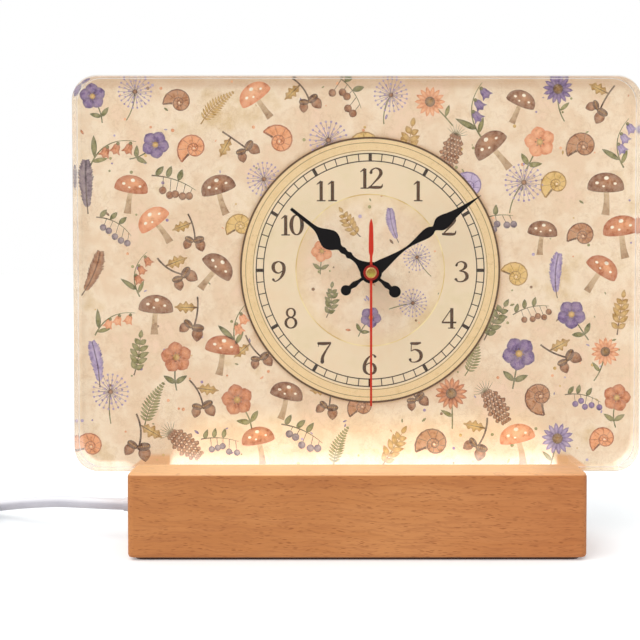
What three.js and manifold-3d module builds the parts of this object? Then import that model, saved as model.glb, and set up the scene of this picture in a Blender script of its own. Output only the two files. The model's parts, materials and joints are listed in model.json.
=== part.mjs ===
// A table clock. A clear acrylic block, printed on its back, stands in the groove of a beech base
// that lights it from below, and a quartz movement behind the block turns three hands in front.
// Millimetres. X runs to the right, Y away from the viewer and Z up, and the origin is the middle
// of the base's underside.

import * as THREE from "three";
import { mergeVertices } from "three/addons/utils/BufferGeometryUtils.js";
import Module from "manifold-3d";

const wasm = await Module();
wasm.setup();

// Clearances that the whole clock shares
const runningGap = 0.3; // round a piece that turns
const fitGap = 0.3; // round a piece that sits in a recess
const seatGap = 0.06; // between faces that rest on each other
const overrun = 1; // how far a cutter passes the face it opens
const thinCorner = 1; // of plates stamped or cut from sheet
const mergeTolerance = 0.001;

// Beech base
const baseLength = 150;
const baseDepth = 44;
const baseHeight = 27.8;
const baseCorner = 2;
const baseBevel = 1.2;
const padThickness = 0.8;
const padInset = 2;
const padCorner = 3;
const grooveDepth = 2.5;
const grooveSlack = 0.25; // in front of the block and behind its film
const endWall = 8; // between the cavity and the base's ends
const cavityWidth = 26;
const cavityDepth = 17.3;
const cavityCorner = 3;
const slotInset = 1; // from the cavity's ends to the light slot's
const slotWidth = 6.5;

// Cover under the base and its screws
const coverThickness = 1.6;
const coverLedge = 5; // how far the cover overlaps the wood past the cavity's ends
const coverSideLedge = 2.5;
const coverCorner = 3;
const coverScrewAcross = 10.5;
const screwHeadRadius = 2;
const screwHeadHeight = 1;
const screwShankRadius = 0.9;
const coverScrewLength = 7;
const boardScrewLength = 5;
const screwSlotWidth = 0.7;
const screwSlotDepth = 0.5;

// Light board
const boardWidth = 14;
const boardThickness = 1.2;
const boardInset = 2; // from the cavity's ends
const chipCount = 16;
const chipLength = 3.5;
const chipWidth = 2.8;
const chipHeight = 0.8;
const boardScrewAcross = 5;
const boardScrewInset = 12;

// Cable, its sleeve, its coil and its plug
const cordDiameter = 4;
const cordSides = 10;
const cordStep = 7;
const floorClear = 0.06;
const cordExitAcross = 4;
const cordExitHeight = 12.9;
const sleeveRadius = 2.9;
const sleeveMouthRadius = 2.35;
const sleeveReach = 6;
const sleeveFlangeRadius = 4.4;
const sleeveFlangeThickness = 1.4;
const innerLeadLength = 9;
const coilMeanRadius = 23.6;
const coilPitch = 4.55;
const coilWholeTurns = 9;
const coilClimbTurns = 0.5;
const coilStepsPerTurn = 24;
const coilSides = 6;
const coilLeadStraight = 32.6;
const coilLeadBend = 12;
const coilLeadFlat = 8;
const coilLeadDown = 24;
const coilLeadRise = 14;
const coilLeadEnd = 3;
const coilLeadSteps = 12;
// Offsets to the left and away from the sleeve's mouth, then the share of the exit's height that
// is left above the lie on the floor. Chosen by hand.
const cordRoute = [
  [0, 0, 1], [4.3, 0.2, 1.01], [8.8, 1.1, 1.01], [14.2, 3.2, 0.99], [20.2, 6.9, 0.935],
  [26.2, 11.4, 0.85], [31.7, 16, 0.745], [37.2, 20.6, 0.628], [42.7, 25, 0.512],
  [47.9, 29, 0.395], [53.4, 33, 0.265], [58.3, 36.7, 0.13], [62.9, 40.2, 0.035], [67.5, 43.7, 0],
];
const plugWidth = 15.6;
const plugThickness = 8;
const plugLength = 21;
const plugCorner = 2.4;
const plugBevel = 1;
const plugNeckRadius = 3.1;
const plugNeckLength = 8;
const shellWidth = 12;
const shellThickness = 4.5;
const shellLength = 12;
const shellWall = 0.4;
const shellWindow = 2.2;
const shellWindowAcross = 2.9;
const tongueWidth = 10.4;
const tongueThickness = 1.8;
const tongueLength = 9;

// Acrylic block and the layers on its back
const blockWidth = 192;
const blockHeight = 134;
const blockThickness = 12;
const blockCorner = 8.5;
const blockChamfer = 0.6;
const pivotAcross = 4.7; // from the block's middle to the hands' axis
const pivotRise = 0.5;
const roundelRadius = 25.3;
const roundelWidth = 0.8; // of the V groove engraved in the block's back
const roundelDepth = 0.5;
const filmThickness = 0.25;
const filmInset = 0.7;
const foamSide = 50;
const foamThickness = 0.8;
const foamCorner = 3;
const foamHoleRadius = 5;

// Nested tubes that carry the hands, from the middle outwards
const arborRadius = 0.55;
const tubeWall = 0.7;
const minuteBore = arborRadius + runningGap;
const minuteTubeRadius = minuteBore + tubeWall;
const hourBore = minuteTubeRadius + runningGap;
const hourTubeWall = 0.4;
const hourTubeRadius = hourBore + hourTubeWall;
const bushBore = hourTubeRadius + runningGap;
const bushWall = 0.45;
const bushRadius = bushBore + bushWall;

// Movement case
const caseCorner = 3;
const caseWall = 1.2;
const bayHeight = 15.9;
const coverPlate = 1.5;
const postRadius = 1.8;
const postInset = 2.6;
const bossRadius = 1.6;
const bossHeight = 3.2;
const bridgePostRise = 5.7; // from the rotor's axis to the bridge's upper post
const bridgeMargin = 1.9; // of the bridge past the step wheel's axis
const pivotRadius = 0.5;
const lugLength = 6;
const lugReach = 0.7;

// Gear train: teeth, centre distances and the angles at which the axes lie round each other
const secondsTeeth = 36;
const secondsPinionTeeth = 6;
const stepTeeth = 30;
const stepPinionTeeth = 6;
const rotorPinionTeeth = 6;
const thirdTeeth = 45;
const thirdPinionTeeth = 6;
const minuteTeeth = 48;
const cannonTeeth = 10;
const motionTeeth = 30;
const motionPinionTeeth = 8;
const hourTeeth = 32;
const knobPinionTeeth = 8;
const thirdDistance = 10.2;
const stepDistance = 7.56;
const rotorDistance = 6.48;
const motionDistance = 9;
const knobDistance = 8.55;
const degree = Math.PI / 180;
const thirdAngle = 50 * degree;
const stepAngle = 150 * degree;
const rotorAngle = 120 * degree;
const motionAngle = 180 * degree;
const knobAngle = 180 * degree;
const wheelThickness = 0.8;
const planePitch = 1.2;
const firstPlaneGap = 0.4;
const addendumShare = 0.72;
const dedendumShare = 1.15;
const tipWidthShare = 0.16;

// Stepping motor, circuit and battery
const magnetRadius = 2.6;
const magnetLength = 1.8;
const statorThickness = 0.6;
const statorWidth = 27;
const statorArm = 3.5;
const statorBodyHeight = 8;
const magnetGap = 0.5;
const coreRise = 11;
const coilWindingRadius = 3.3;
const coilWindingLength = 18;
const coilFlangeRadius = 3.8;
const coilFlangeThickness = 0.7;
const circuitWidth = 12.5;
const circuitHeight = 33;
const circuitThickness = 1;
const circuitPostRadius = 1.6;
const circuitPostInset = 2.1;
const blobRadius = 3;
const blobHeight = 1.1;
const crystalRadius = 1;
const crystalLength = 6;
const batteryRadius = 7.15;
const batteryLength = 49.2;
const nubRadius = 2.7;
const nubLength = 1;
const contactThickness = 0.4;
const contactWidth = 9;
const contactTab = 3;
const springBulge = 2.08;
const knobRadius = 6;
const knobHeight = 3;
const knobFlutes = 18;
const knobFluteDepth = 0.5;
const knobShaftRadius = 1.5;

// Hands: how far in front of the block each lies, and their outlines
const bushReach = 0.6;
const hourHandLift = 1;
const minuteHandLift = 2.5;
const secondHandLift = 4;
const handThickness = 0.4;
const hubRadius = 3.65;
const hourHandLength = 34.4;
const hourHandHalfWidth = 3.35;
const hourHandAngle = 51.4 * degree;
const minuteHandLength = 44.9;
const minuteHandHalfWidth = 2.43;
const minuteHandAngle = -54.9 * degree;
const secondHandLength = 44.7;
const secondHandAngle = 180 * degree;
const secondTailLength = 18;
const secondTailHalfWidth = 0.8;
const needleHalfWidth = 0.42;
const needleTipHalfWidth = 0.34;
const collarRadius = 2.6;
const capRadius = 1.83;
const capHeight = 0.8;
const capStemWall = 0.45; // with its gap round the arbor
const tailReach = 10.3;
const tailHalfWidth = 1;
const hourTailDisc = 2;
const minuteTailDisc = 1.75;
const handSamples = 30;
const tailSamples = 15;
// Each row is a share of the hand's length from the axis and a share of its greatest half width.
const hourHandShares = [
  [0.06, 0.8], [0.115, 0.5], [0.17, 0.25], [0.235, 0.21], [0.275, 0.37], [0.305, 0.21],
  [0.345, 0.35], [0.375, 0.28], [0.4, 0.34], [0.435, 0.68], [0.48, 0.95], [0.53, 1],
  [0.59, 0.74], [0.64, 0.45], [0.7, 0.23], [0.8, 0.19], [1, 0.16],
];
const minuteHandShares = [
  [0.05, 0.95], [0.1, 0.82], [0.165, 0.57], [0.24, 0.31], [0.315, 0.16], [0.375, 0.24],
  [0.45, 0.5], [0.506, 0.68], [0.547, 0.6], [0.574, 0.34], [0.596, 0.62], [0.63, 1],
  [0.675, 0.96], [0.73, 0.68], [0.8, 0.43], [0.907, 0.19], [1, 0.03],
];
const tailShares = [
  [0.3, 0.6], [0.45, 0.52], [0.56, 0.75], [0.66, 1], [0.74, 0.85], [0.82, 0.75], [1, 1],
];
const secondTailShares = [
  [0.1, 0.55], [0.3, 0.53], [0.37, 0.9], [0.47, 1], [0.82, 0.84], [0.93, 0.6], [1, 0.08],
];

// Heights of the base, from the floor up
const baseBottom = padThickness + seatGap;
const baseTop = baseBottom + baseHeight;
const grooveFloor = baseTop - grooveDepth;
const cavityTop = baseBottom + cavityDepth;
const cavityLength = baseLength - 2 * endWall;
const coverLength = cavityLength + 2 * coverLedge;
const coverWidth = cavityWidth + 2 * coverSideLedge;
const coverScrewX = cavityLength / 2 + coverLedge / 2;
const boardLength = cavityLength - 2 * boardInset;
const boardTop = cavityTop - seatGap;

// Depths behind the block's middle plane, in the face's own frame, where z points to the viewer
const blockBottom = grooveFloor + seatGap;
const pivotHeight = blockBottom + blockHeight / 2 + pivotRise;
const blockFront = blockThickness / 2;
const filmFront = -blockFront - seatGap;
const foamFront = filmFront - filmThickness - seatGap;
const caseFront = foamFront - foamThickness - seatGap;
const caseInner = caseFront - caseWall;
// From the axis to the case's inner walls: room for the cell and its contacts, or where it is more,
// for the minute wheel above the battery bay.
const cellRoom = batteryLength + nubLength + springBulge + 1.5 * contactThickness + 2 * (fitGap + seatGap);
const minuteTip = (thirdDistance * (minuteTeeth + 2 * addendumShare)) / (minuteTeeth + thirdPinionTeeth);
const inside = Math.max(cellRoom / 2, minuteTip + runningGap + caseWall + bayHeight);
const caseSide = 2 * (inside + caseWall);
const bayTop = bayHeight - inside;
const gearFloor = bayTop + caseWall;

const planeFront = (plane) => caseInner - firstPlaneGap - plane * planePitch;
const planeBack = (plane) => planeFront(plane) - wheelThickness;
const hourPlane = 0;
const motionPlane = 1;
const minutePlane = 2;
const thirdPlane = 3;
const secondsPlane = 4;
const stepPlane = 5;
const magnetFront = planeBack(stepPlane) - firstPlaneGap;
const magnetMiddle = magnetFront - magnetLength / 2;
const statorFront = magnetMiddle + statorThickness / 2;
const coreFront = statorFront - statorThickness - seatGap;
const circuitFront = statorFront;
const coilBack = coreFront - statorThickness / 2 - coilFlangeRadius;

// The case is deep enough for the motor's coil in front of the rear cover, and for the cell.
const motorDepth = caseFront - coilBack + fitGap + coverPlate;
const cellDepth = caseWall + fitGap + 2 * batteryRadius + seatGap;
const caseDepth = Math.max(motorDepth, cellDepth);
const caseBack = caseFront - caseDepth;
const rearCoverFront = caseBack + coverPlate;
const bossEnd = rearCoverFront + bossHeight;

const around = (centre, distance, angle) => [
  centre[0] + distance * Math.cos(angle),
  centre[1] + distance * Math.sin(angle),
];
const handAxis = [0, 0];
const thirdAxis = around(handAxis, thirdDistance, thirdAngle);
const stepAxis = around(handAxis, stepDistance, stepAngle);
const rotorAxis = around(stepAxis, rotorDistance, rotorAngle);
const motionAxis = around(handAxis, motionDistance, motionAngle);
const knobAxis = around(motionAxis, knobDistance, knobAngle);
const coreRow = rotorAxis[1] + coreRise;
const statorMiddle = rotorAxis[0];
const circuitLeft = thirdAxis[0] + bossRadius + firstPlaneGap;
const circuitMiddle = circuitLeft + circuitWidth / 2;
const circuitBottom = gearFloor + wheelThickness;

// Geometry into solids and back

function solidOf(geometry) {
  const bare = geometry.clone();
  bare.deleteAttribute("normal");
  bare.deleteAttribute("uv");
  const merged = mergeVertices(bare, mergeTolerance);
  return new wasm.Manifold(
    new wasm.Mesh({
      numProp: 3,
      vertProperties: merged.attributes.position.array,
      triVerts: new Uint32Array(merged.index.array),
    }),
  );
}

function geometryOf(solid) {
  const made = solid.getMesh();
  const geometry = new THREE.BufferGeometry();
  geometry.setAttribute("position", new THREE.BufferAttribute(made.vertProperties, 3));
  geometry.setIndex(new THREE.BufferAttribute(made.triVerts, 1));
  geometry.computeVertexNormals();
  return geometry;
}

const joined = (first, ...others) => others.reduce((all, next) => all.add(next), first);
const cut = (first, ...others) => others.reduce((all, next) => all.subtract(next), first);

// Outlines as lists of points

function circlePoints(radius, [x, y] = [0, 0], sides = 24) {
  return Array.from({ length: sides }, (_, i) => {
    const angle = (2 * Math.PI * i) / sides;
    return new THREE.Vector2(x + radius * Math.cos(angle), y + radius * Math.sin(angle));
  });
}

function roundedPoints(width, height, corner, [x, y] = [0, 0], steps = 4) {
  const points = [];
  const corners = [[1, 1, 0], [-1, 1, 1], [-1, -1, 2], [1, -1, 3]];
  for (const [side, rise, quarter] of corners) {
    const cx = x + side * (width / 2 - corner);
    const cy = y + rise * (height / 2 - corner);
    for (let i = 0; i <= steps; i += 1) {
      const angle = ((quarter + i / steps) * Math.PI) / 2;
      points.push(new THREE.Vector2(cx + corner * Math.cos(angle), cy + corner * Math.sin(angle)));
    }
  }
  return points;
}

function gearPoints(teeth, module, turn) {
  const pitchRadius = (module * teeth) / 2;
  const tip = pitchRadius + addendumShare * module;
  const root = pitchRadius - dedendumShare * module;
  const toothAngle = (2 * Math.PI) / teeth;
  const points = [];
  for (let tooth = 0; tooth < teeth; tooth += 1) {
    const centre = turn + tooth * toothAngle;
    for (const [radius, share] of [[root, -1], [tip, -tipWidthShare], [tip, tipWidthShare]]) {
      const angle = centre + (share * toothAngle) / 2;
      points.push(new THREE.Vector2(radius * Math.cos(angle), radius * Math.sin(angle)));
    }
  }
  return points;
}

// Solids in the frame they are drawn in

function plate(points, back, thickness, holes = []) {
  const shape = new THREE.Shape(points);
  shape.holes = holes.map((hole) => new THREE.Path(hole));
  const geometry = new THREE.ExtrudeGeometry(shape, { depth: thickness, bevelEnabled: false });
  return solidOf(geometry.translate(0, 0, back));
}

function bevelledPlate(points, back, thickness, bevel, steps) {
  const geometry = new THREE.ExtrudeGeometry(new THREE.Shape(points), {
    depth: thickness - 2 * bevel,
    bevelThickness: bevel,
    bevelSize: bevel,
    bevelOffset: -bevel,
    bevelSegments: steps,
  });
  return solidOf(geometry.translate(0, 0, back + bevel));
}

// A profile of [radius, height] rows turned about the z axis, drawn outwards and then up.
function turned(profile, sides = 24) {
  const points = profile.map(([radius, height]) => new THREE.Vector2(radius, height));
  return solidOf(new THREE.LatheGeometry(points, sides).rotateX(Math.PI / 2));
}

const rod = (radius, low, high, sides = 24) =>
  turned([[0, low], [radius, low], [radius, high], [0, high]], sides);

function block(width, depth, height, [x, y, z]) {
  return solidOf(new THREE.BoxGeometry(width, depth, height).translate(x, y, z));
}

function gear(teeth, module, turn, back, thickness) {
  return plate(gearPoints(teeth, module, turn), back, thickness);
}

// A turn that puts the second gear in mesh with the first, whose own turn is given, when it lies
// at this angle round the first.
function meshedTurn(firstTeeth, firstTurn, secondTeeth, angle) {
  const firstPhase = ((angle - firstTurn) * firstTeeth) / (2 * Math.PI);
  return angle + Math.PI - ((0.5 - firstPhase) * 2 * Math.PI) / secondTeeth;
}

const moduleOf = (distance, firstTeeth, secondTeeth) => (2 * distance) / (firstTeeth + secondTeeth);

// Materials

const finish = (colour, roughness, metalness = 0) =>
  new THREE.MeshStandardMaterial({ color: new THREE.Color(...colour), roughness, metalness });
const finishes = {
  beech: finish([0.7, 0.43, 0.24], 0.5),
  rubber: finish([0.06, 0.055, 0.055], 0.9),
  acrylic: finish([0.95, 0.97, 0.97], 0.05),
  print: finish([0.86, 0.75, 0.6], 0.5),
  foam: finish([0.9, 0.9, 0.88], 0.9),
  blackPlastic: finish([0.05, 0.05, 0.055], 0.5),
  whitePlastic: finish([0.86, 0.86, 0.88], 0.45),
  greenBoard: finish([0.08, 0.3, 0.16], 0.5),
  whiteBoard: finish([0.9, 0.9, 0.88], 0.5),
  steel: finish([0.7, 0.7, 0.72], 0.3, 1),
  brass: finish([0.75, 0.66, 0.33], 0.3, 1),
  copper: finish([0.7, 0.36, 0.2], 0.4, 1),
  handBlack: finish([0.03, 0.027, 0.025], 0.45),
  handRed: finish([0.62, 0.05, 0.03], 0.45),
  batterySleeve: finish([0.2, 0.22, 0.26], 0.4),
};

function mesh(name, solid, finishName) {
  const made = new THREE.Mesh(geometryOf(solid), finishes[finishName]);
  made.name = name;
  return made;
}

// Base

function baseBody() {
  const outline = roundedPoints(baseLength, baseDepth, baseCorner);
  const wood = bevelledPlate(outline, baseBottom, baseHeight, baseBevel, 2);
  const grooveFront = -blockThickness / 2 - grooveSlack;
  const grooveBack = grooveSlack - filmFront + filmThickness;
  const grooveHeight = grooveDepth + overrun;
  const groove = block(baseLength + 2 * overrun, grooveBack - grooveFront, grooveHeight, [
    0,
    (grooveFront + grooveBack) / 2,
    grooveFloor + grooveHeight / 2,
  ]);
  const slotLength = cavityLength - 2 * slotInset;
  const slotHeight = grooveFloor - cavityTop + 2 * overrun;
  const slotPoints = roundedPoints(slotLength, slotWidth, slotWidth / 2);
  const slot = plate(slotPoints, cavityTop - overrun, slotHeight);
  const cavityPoints = roundedPoints(cavityLength, cavityWidth, cavityCorner);
  const cavity = plate(cavityPoints, baseBottom - overrun, cavityDepth + overrun);
  const recess = plate(
    roundedPoints(coverLength + 2 * fitGap, coverWidth + 2 * fitGap, coverCorner + fitGap),
    baseBottom - overrun,
    coverThickness + overrun,
  );
  const coverHoles = screwHoles(coverScrewPlaces, baseBottom, coverThickness + coverScrewLength);
  const boardHoles = screwHoles(boardScrewPlaces, boardTop, boardScrewLength);
  const cableHole = rod(sleeveRadius + fitGap, -endWall - overrun, overrun, 16)
    .rotate(0, -90, 0)
    .translate(-baseLength / 2, cordExitAcross, cordExitHeight);
  return cut(wood, groove, slot, cavity, recess, cableHole, ...coverHoles, ...boardHoles);
}

const coverScrewPlaces = [[-1, -1], [-1, 1], [1, -1], [1, 1]].map(([side, row]) => [
  side * coverScrewX,
  row * coverScrewAcross,
]);
const boardScrewPlaces = [-1, 1].map((side) => [
  side * (boardLength / 2 - boardScrewInset),
  side * boardScrewAcross,
]);

function screwHoles(places, low, depth) {
  const hole = rod(screwShankRadius + fitGap, low, low + depth, 8);
  return places.map(([x, y]) => hole.translate(x, y, 0));
}

function coverPanel() {
  const low = baseBottom;
  const top = coverThickness - seatGap;
  const panel = plate(roundedPoints(coverLength, coverWidth, coverCorner), low, top);
  const sink = rod(screwHeadRadius + fitGap, low - overrun, low + screwHeadHeight, 12);
  const sinks = coverScrewPlaces.map(([x, y]) => sink.translate(x, y, 0));
  return cut(panel, ...sinks, ...screwHoles(coverScrewPlaces, low, coverThickness + overrun));
}

// A slotted screw, head down, whose head's upper face lies at the given height.
function screw(length, [x, y, z]) {
  const head = rod(screwHeadRadius, -screwHeadHeight + seatGap, 0, 12);
  const shank = rod(screwShankRadius, -screwSlotDepth, length, 8);
  const slotPlace = [0, 0, -screwHeadHeight];
  const slot = block(3 * screwHeadRadius, screwSlotWidth, 2 * screwSlotDepth, slotPlace);
  return cut(joined(head, shank), slot).translate(x, y, z);
}

function lightBoard() {
  const low = boardTop - boardThickness;
  let board = plate(roundedPoints(boardLength, boardWidth, thinCorner), low, boardThickness);
  const chipPitch = boardLength / chipCount;
  for (let i = 0; i < chipCount; i += 1) {
    const x = (i + 0.5 - chipCount / 2) * chipPitch;
    board = board.add(block(chipLength, chipWidth, 2 * chipHeight, [x, 0, boardTop]));
  }
  return cut(board, ...screwHoles(boardScrewPlaces, low - overrun, boardThickness + 2 * overrun));
}

// The sleeve moulded on the cable: a flange inside the wall and a short taper outside it.
function cableSleeve() {
  const inner = endWall + fitGap;
  const profile = [
    [0, -inner - sleeveFlangeThickness],
    [sleeveFlangeRadius, -inner - sleeveFlangeThickness],
    [sleeveFlangeRadius, -inner],
    [sleeveRadius, -inner],
    [sleeveRadius, fitGap],
    [sleeveMouthRadius, sleeveReach],
    [0, sleeveReach],
  ];
  return turned(profile, 20)
    .rotate(0, -90, 0)
    .translate(-baseLength / 2, cordExitAcross, cordExitHeight);
}

function innerLead() {
  const start = -baseLength / 2 + endWall + sleeveFlangeThickness + 2 * fitGap;
  return rod(cordDiameter / 2, 0, innerLeadLength, cordSides)
    .rotate(0, 90, 0)
    .translate(start, cordExitAcross, cordExitHeight);
}

// Cable

const lieHeight = cordDiameter / 2 + floorClear;
const mouth = new THREE.Vector3(-baseLength / 2 - sleeveReach - fitGap, cordExitAcross, cordExitHeight);
const routePoints = cordRoute.map(
  ([left, away, share]) =>
    new THREE.Vector3(mouth.x - left, mouth.y + away, lieHeight + share * (mouth.z - lieHeight)),
);

function freeCable() {
  const path = new THREE.CatmullRomCurve3(routePoints, false, "centripetal");
  const section = new THREE.Shape(circlePoints(cordDiameter / 2, [0, 0], cordSides));
  const steps = Math.round(path.getLength() / cordStep);
  return solidOf(new THREE.ExtrudeGeometry(section, { steps, extrudePath: path, bevelEnabled: false }));
}

// The coil's centre line: a straight lead in, turns that close in on the lower layer, half a turn
// that climbs, turns that open out on the upper layer until they run to the left, and a lead out
// that comes down off the coil, bends round towards the viewer and rises to the plug beside it.
function coilLine() {
  const heading = routePoints.at(-1).clone().sub(routePoints.at(-2)).setZ(0).normalize();
  const start = routePoints.at(-1).clone().addScaledVector(heading, fitGap);
  const first = start.clone().addScaledVector(heading, cordDiameter);
  const entry = Math.atan2(-heading.x, heading.y);
  const turns = coilWholeTurns + (Math.PI / 2 - entry) / (2 * Math.PI);
  const outer = coilMeanRadius + (coilPitch * turns) / 4;
  const centre = new THREE.Vector3(
    first.x - outer * Math.cos(entry),
    first.y - outer * Math.sin(entry),
    lieHeight,
  );
  const climbStart = (turns - coilClimbTurns) / 2;
  const steps = Math.round(turns * coilStepsPerTurn);
  const points = [start];
  for (let i = 0; i <= steps; i += 1) {
    const turn = (i / steps) * turns;
    const closing = Math.min(turn, turns / 2);
    const opening = Math.max(turn - turns / 2, 0);
    const climb = THREE.MathUtils.smoothstep(turn, climbStart, climbStart + coilClimbTurns);
    const radius = outer - coilPitch * (closing - opening);
    const angle = entry + 2 * Math.PI * turn;
    points.push(
      new THREE.Vector3(
        centre.x + radius * Math.cos(angle),
        centre.y + radius * Math.sin(angle),
        centre.z + coilPitch * climb,
      ),
    );
  }
  const last = points.at(-1);
  const plugHeight = plugThickness / 2 + floorClear;
  const leadLength = coilLeadStraight + (Math.PI / 2) * coilLeadBend;
  for (let i = 1; i <= coilLeadSteps; i += 1) {
    const along = (i / coilLeadSteps) * leadLength;
    const bend = Math.max(along - coilLeadStraight, 0) / coilLeadBend;
    const fall = THREE.MathUtils.smoothstep(along, coilLeadFlat, coilLeadDown);
    const rise = THREE.MathUtils.smoothstep(along, leadLength - coilLeadRise, leadLength);
    points.push(
      new THREE.Vector3(
        last.x - Math.min(along, coilLeadStraight) - coilLeadBend * Math.sin(bend),
        last.y - coilLeadBend * (1 - Math.cos(bend)),
        last.z + (lieHeight - last.z) * fall + (plugHeight - lieHeight) * rise,
      ),
    );
  }
  const bent = points.at(-1);
  points.push(new THREE.Vector3(bent.x, bent.y - coilLeadEnd, bent.z));
  return points;
}

// One unbroken tube along a line of points that never runs straight up.
function tubeAlong(line, radius, sides) {
  const up = new THREE.Vector3(0, 0, 1);
  const positions = [];
  const index = [];
  line.forEach((point, i) => {
    const before = line[Math.max(i - 1, 0)];
    const after = line[Math.min(i + 1, line.length - 1)];
    const along = after.clone().sub(before).normalize();
    const side = along.clone().cross(up).normalize();
    const rise = side.clone().cross(along);
    for (let j = 0; j < sides; j += 1) {
      const angle = (2 * Math.PI * j) / sides;
      const corner = point
        .clone()
        .addScaledVector(side, radius * Math.cos(angle))
        .addScaledVector(rise, radius * Math.sin(angle));
      positions.push(...corner.toArray());
    }
  });
  const at = (i, j) => i * sides + (j % sides);
  for (let i = 0; i + 1 < line.length; i += 1) {
    for (let j = 0; j < sides; j += 1) {
      index.push(at(i, j), at(i + 1, j), at(i, j + 1));
      index.push(at(i + 1, j), at(i + 1, j + 1), at(i, j + 1));
    }
  }
  const end = line.length - 1;
  for (let j = 1; j + 1 < sides; j += 1) {
    index.push(at(0, 0), at(0, j), at(0, j + 1));
    index.push(at(end, 0), at(end, j + 1), at(end, j));
  }
  const geometry = new THREE.BufferGeometry();
  geometry.setAttribute("position", new THREE.Float32BufferAttribute(positions, 3));
  geometry.setIndex(index);
  return solidOf(geometry);
}

// The least distance between stretches of the line that lie more than a third of a turn apart,
// less the cable's own diameter.
function leastGap(line) {
  const apart = coilStepsPerTurn / 3;
  let least = Infinity;
  line.forEach((point, i) => {
    for (let j = i + apart; j < line.length; j += 1) least = Math.min(least, point.distanceTo(line[j]));
  });
  return least - cordDiameter;
}

// Plug at the cable's end, drawn along +x from the cable's side

function plugBody() {
  const neck = rod(plugNeckRadius, -plugNeckLength, overrun, 16).rotate(0, 90, 0);
  const outline = roundedPoints(plugWidth, plugThickness, plugCorner);
  const body = bevelledPlate(outline, 0, plugLength, plugBevel, 1);
  return joined(neck, body.rotate(90, 0, 90));
}

function plugShell() {
  const start = plugLength + seatGap;
  const shell = block(shellLength, shellWidth, shellThickness, [start + shellLength / 2, 0, 0]);
  const mouthCut = block(
    shellLength,
    shellWidth - 2 * shellWall,
    shellThickness - 2 * shellWall,
    [start + shellWall + shellLength / 2, 0, 0],
  );
  const windows = [-1, 1].map((side) =>
    block(shellWindow, shellWindow, shellThickness, [
      start + shellLength / 2,
      side * shellWindowAcross,
      shellThickness / 2,
    ]),
  );
  return cut(shell, mouthCut, ...windows);
}

function plugTongue() {
  const start = plugLength + seatGap + shellWall + fitGap;
  const lift = shellThickness / 2 - shellWall - fitGap - tongueThickness / 2;
  return block(tongueLength, tongueWidth, tongueThickness, [start + tongueLength / 2, 0, -lift]);
}

// Block and the layers on its back, in the face's frame, whose origin is the hands' axis

const blockMiddle = [-pivotAcross, -pivotRise];

function acrylicBlock() {
  const outline = roundedPoints(blockWidth, blockHeight, blockCorner, blockMiddle, 7);
  const body = bevelledPlate(outline, -blockFront, blockThickness, blockChamfer, 1);
  const hole = rod(bushRadius + fitGap, -blockFront - overrun, blockFront + overrun, 32);
  const back = -blockFront;
  const engraving = turned(
    [
      [roundelRadius - roundelWidth, back - roundelDepth],
      [roundelRadius + roundelWidth, back - roundelDepth],
      [roundelRadius, back + roundelDepth],
      [roundelRadius - roundelWidth, back - roundelDepth],
    ],
    48,
  );
  return cut(body, hole, engraving);
}

function printedFilm() {
  const width = blockWidth - 2 * filmInset;
  const height = blockHeight - 2 * filmInset;
  const outline = roundedPoints(width, height, blockCorner - filmInset, blockMiddle, 6);
  return plate(outline, filmFront - filmThickness, filmThickness, [circlePoints(bushRadius + fitGap)]);
}

function foamPad() {
  const outline = roundedPoints(foamSide, foamSide, foamCorner);
  return plate(outline, foamFront - foamThickness, foamThickness, [circlePoints(foamHoleRadius)]);
}

// Movement case: a moulded tray with the bush, the battery bay's wall and posts for what it holds

const cornerPosts = [[-1, 1], [1, 1], [-1, -1], [1, -1]].map(([side, row]) => [
  side * (inside - postInset),
  row > 0 ? inside - postInset : gearFloor + postInset,
]);
const bridgePosts = [
  [knobAxis[0] - 2 * magnetRadius, rotorAxis[1]],
  [rotorAxis[0], rotorAxis[1] + bridgePostRise],
];
const statorPosts = [-1, 1].map((side) => [
  statorMiddle + (side * (statorWidth - statorArm)) / 2,
  coreRow,
]);
const circuitPosts = [
  [circuitMiddle, circuitBottom + circuitPostInset],
  [circuitMiddle, circuitBottom + circuitHeight - circuitPostInset],
];

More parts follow.
